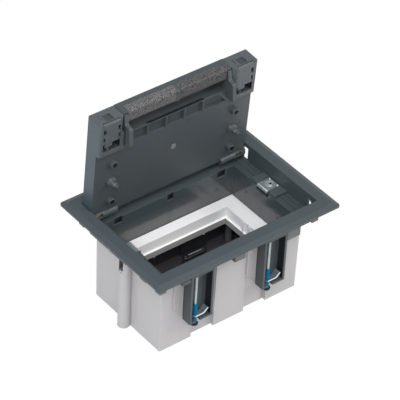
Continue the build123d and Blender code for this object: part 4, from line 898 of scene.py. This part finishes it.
# Foam strips: open-cell foam, glued under the cable flap on both sides of its divider, with soft
# edges and torn cells all over.
torn_cell = (0.026, 0.025, 0.026, 1)
# The right strip is painted darker than the left, as painted shade; both are the same foam.
foam_pale_and_painted_shade = {"left": (0.225, 0.219, 0.219, 1), "right": (0.160, 0.155, 0.156, 1)}
foams = {}
for side, pale in foam_pale_and_painted_shade.items():
    foams[side] = bpy.data.materials.new(f"cable_foam_{side}")
    foams[side].use_nodes = True
    tree = foams[side].node_tree
    shader = tree.nodes["Principled BSDF"]
    shader.inputs["Roughness"].default_value = 0.95
    shader.inputs["Specular IOR Level"].default_value = 0.15
    place = tree.nodes.new("ShaderNodeTexCoord")
    cells = tree.nodes.new("ShaderNodeTexNoise")
    cells.inputs["Scale"].default_value = 1100.0
    cells.inputs["Detail"].default_value = 2.0
    cells.inputs["Roughness"].default_value = 0.75
    specks = tree.nodes.new("ShaderNodeValToRGB")
    specks.color_ramp.elements[0].position = 0.36
    specks.color_ramp.elements[0].color = torn_cell
    specks.color_ramp.elements[1].position = 0.66
    specks.color_ramp.elements[1].color = pale
    pores = tree.nodes.new("ShaderNodeBump")
    pores.inputs["Strength"].default_value = 0.8
    pores.inputs["Distance"].default_value = 0.0004
    tree.links.new(place.outputs["Object"], cells.inputs["Vector"])
    tree.links.new(cells.outputs["Fac"], specks.inputs["Fac"])
    tree.links.new(specks.outputs["Color"], shader.inputs["Base Color"])
    tree.links.new(cells.outputs["Fac"], pores.inputs["Height"])
    tree.links.new(pores.outputs["Normal"], shader.inputs["Normal"])

foam_front, foam_rear = -0.1068, -0.0943
foam_low, foam_lip, foam_high, lip_back = -0.0071, 0.0015, 0.0041, -0.1047
foam_start, foam_length = 0.0009, 0.0523
soft_edge, cell_size, tear = 0.0022, 0.00045, 0.00015
coarse_tear, fine_tear = 700, 1500
quarter = [math.radians(9 * k) for k in range(11)]
bend = [(foam_front + soft_edge * (1 - math.cos(a)), foam_low + soft_edge * (1 - math.sin(a)))
        for a in quarter]
rear_bend = [(foam_rear - soft_edge * (1 - math.cos(a)), foam_low + soft_edge * (1 - math.sin(a)))
             for a in reversed(quarter)]
outline = [(foam_front, foam_lip), *bend, *rear_bend, (foam_rear, foam_high), (lip_back, foam_high),
           (lip_back, foam_lip)]
section = []
for first, second in zip(outline, outline[1:] + outline[:1]):
    count = max(1, round(math.dist(first, second) / cell_size))
    section += [(first[0] + (second[0] - first[0]) * k / count, first[1] + (second[1] - first[1]) * k / count)
                for k in range(count)]
slices = round(foam_length / cell_size)
for side, sx in (("left", -1), ("right", 1)):
    block = bmesh.new()
    closed_body(block, [[(sx * (foam_start + foam_length * j / slices), y, z) for y, z in section]
                        for j in range(slices + 1)])
    bmesh.ops.recalc_face_normals(block, faces=block.faces)
    block.normal_update()
    torn = []
    for vert in block.verts:
        fine, coarse = noise.noise(vert.co * fine_tear), noise.noise(vert.co * coarse_tear)
        torn.append(-tear * (0.5 + 0.5 * fine + 0.6 * abs(coarse)) * vert.normal)
    for vert, shift in zip(block.verts, torn):
        vert.co += shift
    block.transform(lid_frame)
    strip = finished_piece(f"foam_{side}", block, foams[side], "flap")
    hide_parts(f"foam_strip_{side}")

# Between the foam strips stands the flap's thin rib. Both corners of its lower end are rounded over, so
# that a cable isn't cut on it.
rib_half, rib_low, rib_front, rib_rear, rib_turn = 0.0010, -0.0078, -0.1067, -0.0938, 0.0016
front_turn = [(rib_front + rib_turn * (1 - math.cos(a)), rib_low + rib_turn * (1 - math.sin(a)))
              for a in quarter]
rear_turn = [(rib_rear - rib_turn * (1 - math.sin(a)), rib_low + rib_turn * (1 - math.cos(a)))
             for a in quarter]
side_view = [(rib_front, foam_lip), *front_turn, *rear_turn, (rib_rear, foam_lip)]
rib = bmesh.new()
closed_body(rib, [[(x, y, z) for y, z in side_view] for x in (-rib_half, rib_half)])
rib.transform(lid_frame)
finished_piece("flap_rib", rib, saddle_plastic, "flap")
